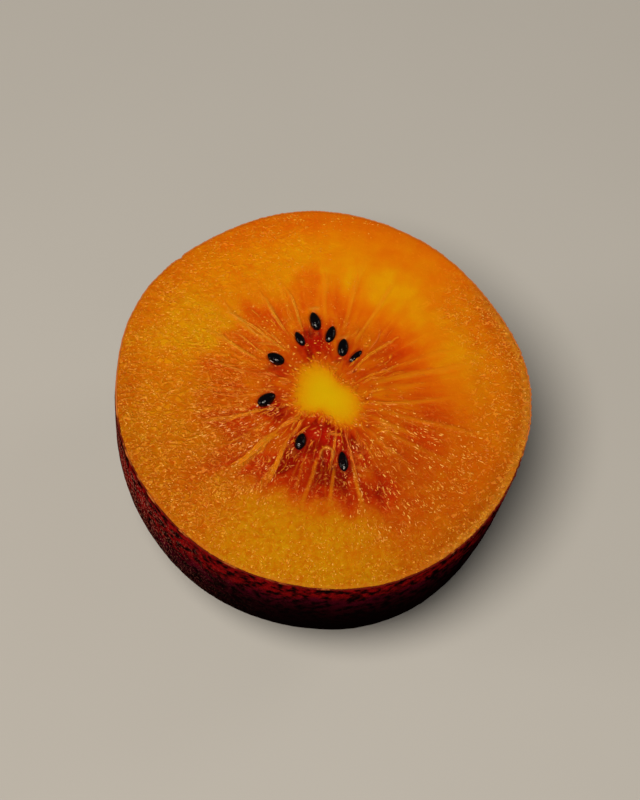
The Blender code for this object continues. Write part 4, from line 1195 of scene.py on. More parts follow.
def flesh_finish():
    material, tree, shader = new_material("kiwi_flesh")
    web = Web(tree)
    tint = web.node("ShaderNodeAttribute", attribute_name="tint").outputs["Color"]
    wet = web.node("ShaderNodeAttribute", attribute_name="wet").outputs["Fac"]
    kind = web.node("ShaderNodeSeparateColor", {"Color": web.node("ShaderNodeAttribute", attribute_name="grain").outputs["Color"]})
    rippled, scrappy, dotty = kind.outputs["Red"], kind.outputs["Green"], kind.outputs["Blue"]
    place = web.node("ShaderNodeTexCoord").outputs["Object"]
    mm = web.vector("MULTIPLY", place, (1000.0, 1000.0, 0.0))

    blobby = web.node("ShaderNodeAttribute", attribute_name="blobs").outputs["Fac"]
    curly = web.node("ShaderNodeAttribute", attribute_name="squiggles").outputs["Fac"]

    # Places pushed about a little, so that nothing lies in rows.
    push = web.node("ShaderNodeTexNoise", {"Vector": mm, "Scale": 0.8, "Detail": 2.0, "Roughness": 0.6}).outputs["Color"]
    push = web.vector("MULTIPLY", web.vector("SUBTRACT", push, (0.5, 0.5, 0.5)), (1.1, 1.1, 0.0))
    pushed = web.vector("ADD", mm, push)

    def moved(x, y):
        return web.vector("ADD", pushed, (x, y, 0.0))

    def times(share, base, factors):
        """The base multiplied by the factors where the share is full."""
        return web.mix(share, base, (*factors, 1.0), "MULTIPLY")

    # Ripples: soft pale waves that lie across the picture, with painted light on their crests and painted shade in the
    # gaps; partly the pale pulp itself.
    sheet = web.node("ShaderNodeVectorRotate", {"Vector": pushed, "Angle": math.radians(-9.0)}, rotation_type="Z_AXIS").outputs[0]
    waves = web.noise(web.vector("MULTIPLY", sheet, (1.10, 1.90, 0.0)), 1.0, 1.0, 0.5, 0.5)
    fine = web.noise(web.vector("MULTIPLY", moved(7.7, 61.3), (1.45, 2.50, 0.0)), 1.0, 1.0, 0.5, 0.42)
    dash, dash_shadow = web.marks(web.vector("ADD", sheet, (67.1, 33.3, 0.0)), 1.22, 0.33, 0.165, 38.0, 1.1, 0.80)
    crest = web.math("MAXIMUM", web.math("MULTIPLY", web.math("MAXIMUM", dash, web.math("MULTIPLY", web.ramp(waves, 0.50, 0.68), 0.55)), rippled), web.math("MULTIPLY", web.ramp(fine, 0.52, 0.65), web.math("MULTIPLY", curly, 1.6)))
    trough_shade = web.math("MAXIMUM", web.math("MULTIPLY", web.math("MAXIMUM", web.math("MULTIPLY", dash_shadow, 0.6), web.math("MULTIPLY", web.ramp(waves, 0.48, 0.34), 0.5)), rippled), web.math("MULTIPLY", web.ramp(fine, 0.48, 0.33), web.math("MULTIPLY", curly, 0.75)))
    # Scraps: short and curled, lying every way, each with a painted shadow below.
    tangle = web.noise(moved(57.2, 41.3), 1.90, 1.0, 0.5, 1.1)
    below = web.noise(moved(57.2, 41.45), 1.90, 1.0, 0.5, 1.1)
    scrap = web.ramp(tangle, 0.575, 0.67)
    third, third_shadow = web.marks(moved(11.8, 73.9), 1.45, 0.27, 0.120, 90.0, 2.2, 0.42)
    scrap = web.math("MULTIPLY", web.math("MAXIMUM", scrap, third), scrappy)
    painted_shadow = web.math("MULTIPLY", web.math("MAXIMUM", web.math("SUBTRACT", web.ramp(below, 0.56, 0.66), web.ramp(tangle, 0.55, 0.64), clamp=True), third_shadow), scrappy)
    # Dots: the smallest wet glints, painted as pale highlight points in loose clusters, each with a painted shadow.
    cluster = web.ramp(web.noise(mm, 0.45, 2.0, 0.6), 0.40, 0.62, 0.20, 1.0)
    fifth, fifth_shadow = web.marks(moved(83.1, 5.7), 1.60, 0.135, 0.110, 90.0, 0.0, 0.40)
    sixth, sixth_shadow = web.marks(moved(23.9, 91.2), 2.40, 0.105, 0.085, 90.0, 0.0, 0.36)
    many = web.math("MULTIPLY", dotty, cluster)
    dot = web.math("MULTIPLY", web.math("MAXIMUM", fifth, sixth), many)
    painted_shadow = web.math("ADD", painted_shadow, web.math("MULTIPLY", web.math("MAXIMUM", fifth_shadow, sixth_shadow), many), clamp=True)
    # Soft pale lumps of the yellow flesh, with painted shade in the hollows between them and a painted shadow below
    # each mark.
    lumps = web.noise(web.vector("MULTIPLY", moved(3.3, 29.7), (1.15, 1.0, 0.0)), 1.45, 1.5, 0.5, 0.45)
    seventh, seventh_shadow = web.marks(moved(41.3, 17.9), 1.40, 0.170, 0.140, 90.0, 0.4, 0.62)
    lump = web.math("MULTIPLY", web.math("MAXIMUM", web.math("MULTIPLY", web.ramp(lumps, 0.47, 0.65), 0.42), seventh), blobby)
    painted_shadow = web.math("ADD", painted_shadow, web.math("MULTIPLY", seventh_shadow, web.math("MULTIPLY", blobby, 0.5)), clamp=True)
    hollow_shade = web.math("MULTIPLY", web.ramp(lumps, 0.48, 0.33), blobby)

    # The marks are painted into the colour: crests and lumps lighter, with painted shade in the troughs and hollows and
    # painted shadows below; scraps pale; the dots as painted highlights.
    shaded = times(crest, tint, (1.16, 1.40, 1.9))
    shaded = times(trough_shade, shaded, (0.97, 0.76, 0.7))
    shaded = times(lump, shaded, (1.16, 1.40, 4.0))
    shaded = times(hollow_shade, shaded, (0.98, 0.80, 0.7))
    shaded = times(web.math("MULTIPLY", painted_shadow, 0.75), shaded, (0.95, 0.66, 0.7))
    glow = web.mix(0.5, web.mix(1.0, tint, (1.7, 2.1, 2.0, 1.0), "MULTIPLY"), colour(0.82, 0.32, 0.040))
    shaded = web.mix(web.math("MULTIPLY", scrap, 0.62), shaded, glow)
    spark = web.mix(0.6, web.mix(1.0, tint, (2.2, 2.6, 2.6, 1.0), "MULTIPLY"), colour(0.90, 0.44, 0.060))
    shaded = web.mix(web.math("MULTIPLY", dot, 0.82, clamp=True), shaded, spark)
    web.feed(shader.inputs["Base Color"], shaded)

    # Fine relief of the same features.
    bump_height = web.math("ADD", web.math("MULTIPLY", crest, 0.70), web.math("MULTIPLY", scrap, 0.75))
    bump_height = web.math("ADD", bump_height, web.math("MULTIPLY", dot, 0.60))
    bump_height = web.math("ADD", bump_height, web.math("MULTIPLY", lump, 0.40))
    bump_height = web.math("SUBTRACT", bump_height, web.math("MULTIPLY", trough_shade, 0.30))
    bump_height = web.math("ADD", bump_height, web.math("MULTIPLY", web.noise(pushed, 3.4, 1.0, 0.6), 0.10))
    bump = web.node("ShaderNodeBump", {"Strength": 1.0, "Distance": 0.00009, "Height": bump_height})
    web.feed(shader.inputs["Normal"], bump)

    web.feed(shader.inputs["Roughness"], web.ramp(wet, -2.0, 1.0, 0.72, 0.15))
    shader.inputs["IOR"].default_value = 1.40
    shader.inputs["Specular IOR Level"].default_value = 0.40
    shader.inputs["Specular Tint"].default_value = colour(1.0, 0.58, 0.20)
    shader.inputs["Subsurface Weight"].default_value = 0.40
    shader.inputs["Subsurface Radius"].default_value = (1.0, 0.32, 0.06)
    shader.inputs["Subsurface Scale"].default_value = 0.00040
    return material


def skin_finish():
    material, tree, shader = new_material("kiwi_skin")
    web = Web(tree)
    place = web.node("ShaderNodeTexCoord").outputs["Object"]
    mm = web.vector("SCALE", place)
    mm.node.inputs["Scale"].default_value = 1000.0
    scar = web.node("ShaderNodeAttribute", attribute_name="scar").outputs["Fac"]
    height = web.node("ShaderNodeSeparateXYZ", {"Vector": mm}).outputs["Z"]
    tall = web.vector("MULTIPLY", mm, (1.0, 1.0, 0.62))

    painted_light = web.node("ShaderNodeAttribute", attribute_name="painted_light").outputs["Fac"]
    down_sheen = web.node("ShaderNodeAttribute", attribute_name="down_sheen").outputs["Fac"]
    wide = web.noise(mm, 0.22, 3.0, 0.55)
    slanted = web.node("ShaderNodeVectorRotate", {"Vector": mm, "Angle": math.radians(32.0)}, rotation_type="Y_AXIS").outputs[0]
    slanted = web.vector("MULTIPLY", slanted, (0.88, 0.88, 1.05))
    blots = web.noise(slanted, 1.12, 2.0, 0.5)
    small = web.noise(mm, 4.6, 2.0, 0.6)
    # Black mottling over crimson; painted shade turns it purple and then black towards the end the half stands on.
    cover = web.math("ADD", 0.485, web.math("MULTIPLY", web.math("SUBTRACT", wide, 0.5), -0.30))
    blot = web.ramp(web.math("SUBTRACT", blots, cover), -0.150, 0.150, 0.0, 1.0)
    crimson = web.mix(web.ramp(small, 0.3, 0.75), colour(0.200, 0.0024, 0.0034), colour(0.36, 0.0056, 0.0068))
    plum = web.mix(web.ramp(small, 0.3, 0.75), colour(0.090, 0.0016, 0.0100), colour(0.16, 0.0030, 0.0240))
    maroon = web.mix(web.ramp(web.math("ADD", painted_light, web.math("MULTIPLY", web.math("SUBTRACT", wide, 0.5), 0.8)), 0.75, 0.35), crimson, plum)
    black = web.mix(small, colour(0.0026, 0.0010, 0.0009), colour(0.0105, 0.0016, 0.0016))
    base = web.mix(blot, maroon, black)
    base = web.mix(web.math("SUBTRACT", 1.0, painted_light, clamp=True), base, colour(0.0024, 0.0009, 0.0009))

    # Painted sheen of the down on the side that the light grazes, and a few corky specks that fade with the painted
    # shade.
    down = web.ramp(web.noise(web.vector("MULTIPLY", mm, (1.0, 1.0, 0.55)), 4.4, 2.0, 0.6), 0.555, 0.64)
    base = web.mix(web.math("MULTIPLY", web.math("MULTIPLY", down, down_sheen), 0.92), base, colour(0.60, 0.205, 0.135))
    speck = web.cells(mm, 1.25)
    chance = web.node("ShaderNodeSeparateColor", {"Color": speck.outputs["Color"]}).outputs["Green"]
    size = web.math("MULTIPLY", web.math("SUBTRACT", chance, 0.60, clamp=True), 0.26)
    specks = web.ramp(speck.outputs["Distance"], size, web.math("MULTIPLY", size, 0.5), 0.0, 1.0)
    base = web.mix(web.math("MULTIPLY", specks, web.math("MULTIPLY", painted_light, 0.5)), base, colour(0.23, 0.085, 0.055))
    # The woody scar of the stem, underneath.
    wood = web.mix(small, colour(0.060, 0.030, 0.016), colour(0.20, 0.115, 0.06))
    base = web.mix(scar, base, wood)
    # The knife's edge leaves the skin thin along the rim; it is painted as a lit orange edge in some directions and a
    # shaded dark one in others.
    thin = web.ramp(web.math("ADD", height, web.math("MULTIPLY", small, 0.16)), web.math("SUBTRACT", CUT_Z - 0.10, web.node("ShaderNodeAttribute", attribute_name="rind").outputs["Fac"]), CUT_Z + 0.03)
    lit = web.ramp(web.math("ADD", web.noise(mm, 0.45, 3.0, 0.6), web.node("ShaderNodeAttribute", attribute_name="lit").outputs["Fac"]), 0.92, 1.12)
    edge = web.mix(lit, colour(0.13, 0.010, 0.006), colour(0.58, 0.165, 0.032))
    base = web.mix(thin, base, edge)
    web.feed(shader.inputs["Base Color"], base)

    relief = web.math("ADD", web.math("MULTIPLY", blots, 0.8), web.math("MULTIPLY", small, 0.45))
    relief = web.math("ADD", relief, web.math("MULTIPLY", specks, 0.35))
    relief = web.math("ADD", relief, web.math("MULTIPLY", web.noise(mm, 11.0, 1.0), 0.18))
    bump = web.node("ShaderNodeBump", {"Strength": 1.0, "Distance": 0.00016, "Height": relief})
    web.feed(shader.inputs["Normal"], bump)
    web.feed(shader.inputs["Roughness"], web.ramp(blot, 0.0, 1.0, 0.50, 0.66))
    shader.inputs["IOR"].default_value = 1.40
    shader.inputs["Specular IOR Level"].default_value = 0.0
    shader.inputs["Specular Tint"].default_value = colour(1.0, 0.45, 0.35)
    return material


def seed_finish():
    material, tree, shader = new_material("kiwi_seed")
    web = Web(tree)
    place = web.node("ShaderNodeTexCoord").outputs["Object"]
    mm = web.vector("SCALE", place)
    mm.node.inputs["Scale"].default_value = 1000.0
    dull = web.node("ShaderNodeAttribute", attribute_name="dull").outputs["Fac"]
    cloudy = web.noise(mm, 3.2, 2.0)
    base = web.mix(cloudy, colour(0.0008, 0.0008, 0.0014), colour(0.0026, 0.0022, 0.0030))
    fuzzy = web.ramp(web.noise(mm, 6.0, 2.0, 0.6), 0.52, 0.68, 0.0, 1.0)
    base = web.mix(web.math("MULTIPLY", web.math("MULTIPLY", fuzzy, dull), 0.75), base, colour(0.030, 0.003, 0.003))
    web.feed(shader.inputs["Base Color"], base)
    net = web.cells(mm, 6.0, "SMOOTH_F1").outputs["Distance"]
    coat = web.noise(mm, 5.5, 2.0, 0.7)
    net = web.math("ADD", net, web.math("MULTIPLY", coat, web.math("MULTIPLY", dull, 0.7)))
    bump = web.node("ShaderNodeBump", {"Strength": 1.0, "Distance": 0.00003, "Height": net})
    web.feed(shader.inputs["Normal"], bump)
    web.feed(shader.inputs["Roughness"], web.math("ADD", 0.10, web.math("MULTIPLY", dull, 0.03)))
    shader.inputs["IOR"].default_value = 1.45
    shader.inputs["Specular IOR Level"].default_value = 0.30
    return material


# ---------------------------------------------------------------- flesh
GRID = 304


def rim_tear(a):
    """The cut's edge is not quite even, and the knife left one small step in it."""
    uneven = 0.045 * noise(a * 14.0, 0.0 * a + 3.3, 101) + 0.035 * noise(a * 46.0, 0.0 * a + 7.7, 102)
    turn = turned(np.degrees(a), 132.5)
    notch = -0.12 * bell((turn - 0.4) / 0.55) + 0.09 * step(0.3, -0.6, turn) * step(-9.0, -1.5, turn) + 0.03 * bell((turn - 4.0) / 2.5)
    turn = turned(np.degrees(a), -33.0)
    ragged = 0.07 * noise(a * 38.0, 0.0 * a + 5.1, 103) + 0.10 * noise(a * 84.0, 0.0 * a + 1.1, 104) + 0.06 * noise(a * 120.0, 0.0 * a + 2.9, 105)
    over = 0.040 * noise(a * 60.0, 0.0 * a + 8.3, 106) + 0.045 * noise(a * 105.0, 0.0 * a + 6.1, 107)
    return uneven + notch + ragged * step(62.0, 34.0, np.abs(turned(turn, 12.0))) + over * step(78.0, 60.0, np.abs(turned(np.degrees(a), 84.0)))


def build_flesh(material):
    arc, share, quads, rim = disc(GRID)
    edge = outline(arc) - 0.20 + rim_tear(arc)
    # Points lie closer together towards the middle, where the finest fibres are.
    share = share * (0.70 + 0.30 * share)
    x, y = share * edge * np.cos(arc), share * edge * np.sin(arc)
    lift = raised(x + FACE_AT[0], y + FACE_AT[1])
    tint, height, wet, grain, blobs, squiggles = face_at(x + FACE_AT[0], y + FACE_AT[1] + lift)
    points = [to_row(x, y, CUT_Z + height)]
    attributes = [[tint], [wet], [grain], [blobs], [squiggles]]
    faces = [quads]
    count = len(x)
    # Round the edge, then down inside the skin.
    a = arc[rim]
    above = rim
    shade = tint[rim]
    # Painted shade on the rounded edge: darker the further it turns down, and dark red at the front, painted over the
    # light that the edge catches there.
    front = (0.85 * bell(turned(np.degrees(a), -95.0) / 62.0))[:, None]
    for inset, drop, t in ((0.165, 0.045, 0.0), (0.105, 0.13, 0.0), (0.085, 0.30, 0.0)):
        px, py = section(a, t)
        px, py = px - inset * np.cos(a) + rim_tear(a) * np.cos(a), py - inset * np.sin(a) + rim_tear(a) * np.sin(a)
        points.append(to_row(px, py, CUT_Z + height[rim] - drop))
        here = count + np.arange(len(rim))
        count += len(rim)
        faces.append(band(above, here))
        above = here
        for store, value in zip(attributes, (shade * (0.86 - 0.4 * drop) * (1.0 - front) + np.array([0.24, 0.028, 0.003]) * front, -2.0 * front[:, 0], 0.4 * grain[rim], 0.5 * blobs[rim], 0.4 * squiggles[rim])):
            store.append(value)
    few = a[::8]
    foot = 1.0 - (FOOT_TRIM + 0.9) / DEPTH
    for k, t in enumerate([0.045, 0.12, 0.25, 0.40, 0.55, 0.68, 0.79, 0.87, 0.925, foot]):
        px, py = section(few, t, 0.11 if k else 0.10)
        points.append(to_row(px, py, CUT_Z - DEPTH * t + 0.0 * px))
        here = count + np.arange(len(few))
        count += len(few)
        faces.append(band(above, here) if k else narrowing(above, here))
        above = here
        for store, value in zip(attributes, (np.tile((0.50, 0.10, 0.001), (len(few), 1)), np.full(len(few), 0.5), np.tile((1.0, 0.0, 0.0), (len(few), 1)), np.zeros(len(few)), np.zeros(len(few)))):
            store.append(value)
    px, py = section(few, foot)
    points.append(to_row(np.array([px.mean()]), np.array([py.mean()]), np.array([CUT_Z - DEPTH * foot])))
    faces.append(np.stack([np.roll(above, -1), above, np.full(len(above), count)], -1))
    for store, value in zip(attributes, (np.array([(0.50, 0.10, 0.001)]), np.array([0.5]), np.array([(1.0, 0.0, 0.0)]), np.array([0.0]), np.array([0.0]))):
        store.append(value)
    piece = mesh_piece("kiwi_flesh", np.concatenate(points), faces, material)
    for name, store in zip(("tint", "wet", "grain", "blobs", "squiggles"), attributes):
        put(piece.data, name, np.concatenate(store))
    return piece


# ---------------------------------------------------------------- skin
SKIN_ROUND = 768
SCAR_AT = (-2.873 + 0.0, -0.384 + 0.0)  # row frame, mm, the middle of the foot


def skin_relief(x, y, z):
    """How far the skin stands out, in mm."""
    a = np.arctan2(y, x)
    pebbles = noise(a * 15.0, z / 1.7, 201) + 0.6 * noise(a * 31.0, z / 0.85 + 3.0, 202) + 0.4 * noise(a * 52.0, z / 0.52, 203)
    return 0.030 * pebbles + 0.05 * noise(a * 4.0, z / 6.0, 204)


def build_skin(material):
    a = 2.0 * math.pi * np.arange(SKIN_ROUND) / SKIN_ROUND
    foot = 1.0 - FOOT_TRIM / DEPTH
    points, faces, scar = [], [], []
    count = 0

    def add(px, py, pz, above, mark=0.0, joined=band):
        nonlocal count
        points.append(to_row(px, py, pz))
        here = count + np.arange(len(px))
        count += len(px)
        scar.append(np.broadcast_to(np.asarray(mark, float), (len(px),)))
        if above is not None:
            faces.append(joined(above, here))
        return here

    # The top edge, between the inner side and the outer side.
    depths = np.concatenate([[0.0, 0.0035, 0.009], 0.016 + 0.006 * np.arange(20), 0.136 + 0.0078 * np.arange(1, 60)])
    depths = depths[depths < 0.55]
    turn = math.acos(float(profile(foot)))
    start = math.acos(float(profile(depths[-1])))
    more = [(1.0 - math.cos(start + (turn - start) * i / 40) ** 2) ** (1.0 / PROFILE_POWER) for i in range(1, 41)]
    depths = np.concatenate([depths, more])
    above = None
    first = None
    tear = rim_tear(a)
    for k, t in enumerate(depths):
        px, py = section(a, t)
        z = CUT_Z - DEPTH * t
        fade = float(step(0.0, 0.012, np.array(t)))
        out = skin_relief(px, py, z + 0.0 * px) * (0.35 + 0.65 * fade)
        near_foot = float(step(foot, foot - 0.02, np.array(t)))
        out = out * (0.25 + 0.75 * near_foot) + tear * (1.0 - step(0.0, 0.03, np.array(t)))
        level = z + 0.0 * px
        if k == 0:
            out = out - 0.05
            level = level - 0.03 + 0.03 * noise(a * 40.0, 0.0 * a + 1.7, 211)
        if k == 1:
            level = level + 0.0
        here = add(px + out * np.cos(a), py + out * np.sin(a), level, above)
        if first is None:
            first = here
        above = here
    # Across the foot to the stem scar.
    cx, cy = px.mean(), py.mean()
    ring_x, ring_y = px - cx, py - cy
    for share_in, rise, ratio, mark in ((0.93, 0.0, 1, 0.0), (0.80, 0.0, 2, 0.0), (0.64, 0.0, 1, 0.0), (0.50, 0.02, 1, 0.1), (0.455, 0.10, 1, 0.7), (0.42, 0.28, 1, 1.0), (0.36, 0.40, 2, 1.0), (0.30, 0.42, 1, 0.9), (0.24, 0.36, 1, 1.0), (0.17, 0.30, 1, 1.0), (0.10, 0.34, 2, 1.0), (0.05, 0.38, 1, 1.0)):
        if ratio > 1:
            ring_x, ring_y = ring_x[::ratio], ring_y[::ratio]
        ang = np.arctan2(ring_y, ring_x)
        wob = rise + (0.05 * noise(ang * 5.0, 0.0 * ang + share_in * 20.0, 221) if rise > 0.05 else 0.0)
        above = add(cx + ring_x * share_in, cy + ring_y * share_in, np.maximum(wob, 0.0) + 0.0 * ring_x, above, mark, band if ratio == 1 else narrowing)
    add(np.array([cx]), np.array([cy]), np.array([0.40]), None, 1.0)
    faces.append(np.stack([np.roll(above, -1), above, np.full(len(above), count - 1)], -1))

    # The inner side, 0.16 mm within, coarser because the flesh fills it.
    few = a[::4]
    inner = []
    inner_depths = [0.0, 0.02, 0.08, 0.2, 0.34, 0.48, 0.61, 0.72, 0.81, 0.88, 0.93, 1.0 - (FOOT_TRIM + 0.62) / DEPTH]
    for k, t in enumerate(inner_depths):
        angles = a if k == 0 else few
        px, py = section(angles, t, 0.17)
        if k == 0:
            px, py = px + tear * np.cos(a), py + tear * np.sin(a)
        z = CUT_Z - DEPTH * t - (0.05 if k == 0 else 0.0)
        inner.append(add(px, py, z + 0.0 * px, None))
    faces.append(band(inner[0], first))
    faces.append(narrowing(inner[0], inner[1])[:, ::-1])
    for up, down in zip(inner[1:], inner[2:]):
        faces.append(band(up, down)[:, ::-1])
    px, py = section(few, inner_depths[-1], 0.17)
    add(np.array([px.mean()]), np.array([py.mean()]), np.array([FOOT_TRIM + 0.0]), None)
    faces.append(np.stack([inner[-1], np.roll(inner[-1], -1), np.full(len(few), count - 1)], -1))
    rows = np.concatenate(points)
    piece = mesh_piece("kiwi_skin", rows, faces, material)
    put(piece.data, "scar", np.concatenate(scar))
    # Painted shade: crimson near the cut, painted black further down, and more slowly on the side where the light
    # grazes it.
    where = np.degrees(np.arctan2(rows[:, 1], rows[:, 0]))
    depth = CUT_Z - rows[:, 2] / MM + 0.9 * noise(np.radians(where) * 7.0, rows[:, 2] / MM / 4.0, 231)
    slow = bell(turned(where, -163.0) / 38.0)
    reach = 3.3 + 9.0 * slow + 1.5 * step(70.0, 130.0, np.abs(turned(where, -90.0)))
    put(piece.data, "painted_light", np.clip(1.25 * np.exp(-((np.maximum(depth, 0.0) / reach) ** 1.4)), 0.0, 1.0))
    # How lit the thin edge is painted, by direction round the rim: painted light and shade.
    put(piece.data, "lit", 0.56 + 0.14 * np.cos(np.radians(turned(where, 75.0))) - 0.22 * bell(turned(where, -40.0) / 34.0) + 0.9 * step(106.0, 88.0, np.abs(turned(where, 84.0))))
    put(piece.data, "rind", 0.03 + 0.80 * np.maximum(bell(turned(where, 176.0) / 26.0), step(106.0, 88.0, np.abs(turned(where, 84.0)))))
    # Where the down's painted sheen shows: the side the light grazes, below the rim.
    put(piece.data, "down_sheen", bell(turned(where, -168.0) / 30.0) * step(0.4, 2.5, depth))
    return piece


# ---------------------------------------------------------------- seeds
def seed_shape(length, width, thick, seed):
    """One seed along +x, tip at +x, as points and faces."""
    rings, round_it = 40, 36
    points = [(-length / 2.0, 0.0, 0.0)]
    for i in range(1, rings):
        t = i / rings
        x = -length / 2.0 + length * (0.5 - 0.5 * math.cos(math.pi * t))
        s = (x + length / 2.0) / length
        # Blunt at one end, drawn to a soft point at the other.
        wide = math.sqrt(max(0.0, 1.0 - ((s - 0.44) / (0.44 if s < 0.44 else 0.56)) ** 2)) ** (0.92 if s < 0.44 else 1.22)
        for j in range(round_it):
            a = 2.0 * math.pi * j / round_it
            pit = 1.0 + 0.018 * math.sin(9.0 * a + 5.0 * math.sin(9.0 * s + seed)) * math.sin(34.0 * s + seed) * wide
            keel = 1.0 - 0.10 * abs(math.cos(a)) ** 6
            points.append((x, width / 2.0 * wide * math.cos(a) * pit * keel, thick / 2.0 * wide * math.sin(a) * pit))
    points.append((length / 2.0, 0.0, 0.0))
    points = np.array(points)
    index = 1 + np.arange((rings - 1) * round_it).reshape(rings - 1, round_it)
    quads = np.stack([index[:-1], np.roll(index[:-1], -1, 1), np.roll(index[1:], -1, 1), index[1:]], -1).reshape(-1, 4)
    last = len(points) - 1
    ends = np.concatenate([
        np.stack([np.zeros(round_it, int), np.roll(index[0], -1), index[0]], -1),
        np.stack([np.full(round_it, last), index[-1], np.roll(index[-1], -1)], -1),
    ])
    return points, quads, ends


def build_seeds(material):
    points, quads, ends, dull = [], [], [], []
    count = 0
    for number, row in enumerate(SEEDS):
        x, y, length, width, turn, deep, dulled = row
        p, q, e = seed_shape(length, width, 0.62 * width + 0.22, 1.7 * number)
        p = p + np.stack([0.0 * p[:, 0], 0.05 * width * np.sin(p[:, 0] / length * 2.0), 0.0 * p[:, 0]], -1)
        place = (
            Matrix.Translation((0.0, 0.0, 0.0))
            @ Matrix.Rotation(math.radians(turn), 4, "Z")
            @ Matrix.Rotation(math.radians(-5.0 + 3.0 * math.sin(2.1 * number)), 4, "Y")
            @ Matrix.Rotation(math.radians(9.0 * math.sin(3.7 * number + 1.0)), 4, "X")
        )
        p = p @ np.array(place.to_3x3()).T
        here = face_at(np.array([x + 1.9 * math.cos(math.radians(turn + 90.0))]), np.array([y + 1.9 * math.sin(math.radians(turn + 90.0))]))[1][0]
        level = CUT_Z + 0.5 * FACE_CROWN + 0.5 * here - 0.02 - deep
        lift = raised(np.array([x]), np.array([y]))[0] + 0.06
        points.append(to_row(p[:, 0] + x - FACE_AT[0], p[:, 1] + y - lift - FACE_AT[1], p[:, 2] + level))
        quads.append(q + count)
        ends.append(e + count)
        dull.append(np.full(len(p), dulled))
        count += len(p)
    piece = mesh_piece("kiwi_seeds", np.concatenate(points), [np.concatenate(quads), np.concatenate(ends)], material)
    put(piece.data, "dull", np.concatenate(dull))
    return piece


# ---------------------------------------------------------------- strands and beads of juice
def along(places, gap):
    """Evenly spaced places on a smooth line through the given ones, and how far along each lies, from 0 to 1."""
    p = np.array(places, float)
    q = np.concatenate([[2.0 * p[0] - p[1]], p, [2.0 * p[-1] - p[-2]]])
    t = np.linspace(0.0, 1.0, 12, endpoint=False)[:, None]
    line = []
    for i in range(len(p) - 1):
        a, b, c, d = q[i : i + 4]
        line.append(0.5 * (2.0 * b + (c - a) * t + (2.0 * a - 5.0 * b + 4.0 * c - d) * t**2 + (3.0 * b - a - 3.0 * c + d) * t**3))
    line = np.concatenate(line + [p[-1:]])
    far = np.concatenate([[0.0], np.cumsum(np.hypot(*np.diff(line, axis=0).T))])
    count = max(5, int(round(far[-1] / gap)))
    s = np.linspace(0.0, far[-1], count + 1)
    return np.stack([np.interp(s, far, line[:, 0]), np.interp(s, far, line[:, 1])], -1), s / far[-1]


def fur(count, seed):
    """Short hairs of tissue all round the core's edge, as strokes."""
    k = np.arange(count)

    def chance(more):
        return scatter(k, 0 * k + 9, seed + more)

    made = []
    turn = 2.0 * math.pi * (k + 0.9 * chance(1)) / count
    edge = CORE_MEAN + sum(h * np.cos(w * (turn - math.radians(c))) for w, h, c in CORE_WAVES)
    begin = 0.90 + 0.30 * chance(2)
    reach = 0.35 + 0.75 * chance(3) ** 1.8
    lean = turn + np.radians(62.0 * (chance(4) + chance(5) - 1.0))
    bend = 0.60 * (chance(6) - 0.5) * reach
    for i in range(count):
        x = CORE_MIDDLE[0] + begin[i] * edge[i] * math.cos(turn[i])
        y = CORE_MIDDLE[1] + begin[i] * edge[i] * math.sin(turn[i])
        ux, uy = math.cos(lean[i]), math.sin(lean[i])
        made.append((
            0.30 + 0.40 * float(chance(7)[i]), 0.15 + 0.13 * float(chance(8)[i]), -0.35 + 0.6 * float(chance(9)[i]),
            (x, y),
            (x + 0.5 * reach[i] * ux - bend[i] * uy, y + 0.5 * reach[i] * uy + bend[i] * ux),
            (x + reach[i] * ux, y + reach[i] * uy),
        ))
    return made


def hairs(count, seed, low, high, first, last):
    """Long thin threads that run outwards, as strokes."""
    k = np.arange(count)

    def chance(more):
        return scatter(k, 0 * k + 4, seed + more)

    made = []
    way = np.radians(first + (last - first) * (k + chance(1)) / count)
    begin = low + (high - low) * chance(2)
    long = 0.7 + 1.9 * chance(3) ** 1.5
    lean = way + np.radians(16.0 * (chance(4) + chance(5) - 1.0))
    bend = 0.22 * (chance(6) - 0.5) * long
    for i in range(count):
        x, y = CORE_AT[0] + begin[i] * math.cos(way[i]), CORE_AT[1] + begin[i] * math.sin(way[i])
        ux, uy = math.cos(lean[i]), math.sin(lean[i])
        made.append((
            0.25 + 0.40 * float(chance(7)[i]), 0.085 + 0.065 * float(chance(8)[i]), 0.6 * float(chance(9)[i]),
            (x, y),
            (x + 0.5 * long[i] * ux - bend[i] * uy, y + 0.5 * long[i] * uy + bend[i] * ux),
            (x + long[i] * ux, y + long[i] * uy),
        ))
    return made


HAIRS = hairs(20, 531, 7.5, 12.0, 96.0, 170.0) + hairs(14, 541, 5.5, 11.0, 170.0, 214.0) + hairs(34, 551, 5.6, 12.5, -62.0, 66.0) + hairs(24, 561, 5.4, 12.0, -146.0, -62.0)


def tissue_finish():
    material, tree, shader = new_material("kiwi_tissue")
    web = Web(tree)
    tint = web.node("ShaderNodeAttribute", attribute_name="tint").outputs["Color"]
    place = web.node("ShaderNodeTexCoord").outputs["Object"]
    mm = web.vector("MULTIPLY", place, (1000.0, 1000.0, 1000.0))
    uneven = web.noise(mm, 3.4, 2.0, 0.6)
    web.feed(shader.inputs["Base Color"], web.mix(1.0, tint, web.mix(uneven, colour(0.70, 0.56, 0.5), colour(1.20, 1.34, 1.3)), "MULTIPLY"))
    bump = web.node("ShaderNodeBump", {"Strength": 1.0, "Distance": 0.00003, "Height": web.noise(mm, 6.0, 2.0, 0.6)})
    web.feed(shader.inputs["Normal"], bump)
    shader.inputs["Roughness"].default_value = 0.20
    shader.inputs["IOR"].default_value = 1.40
    shader.inputs["Specular IOR Level"].default_value = 0.30
    shader.inputs["Specular Tint"].default_value = colour(1.0, 0.55, 0.18)
    shader.inputs["Subsurface Weight"].default_value = 0.45
    shader.inputs["Subsurface Radius"].default_value = (1.0, 0.32, 0.06)
    shader.inputs["Subsurface Scale"].default_value = 0.00006
    return material


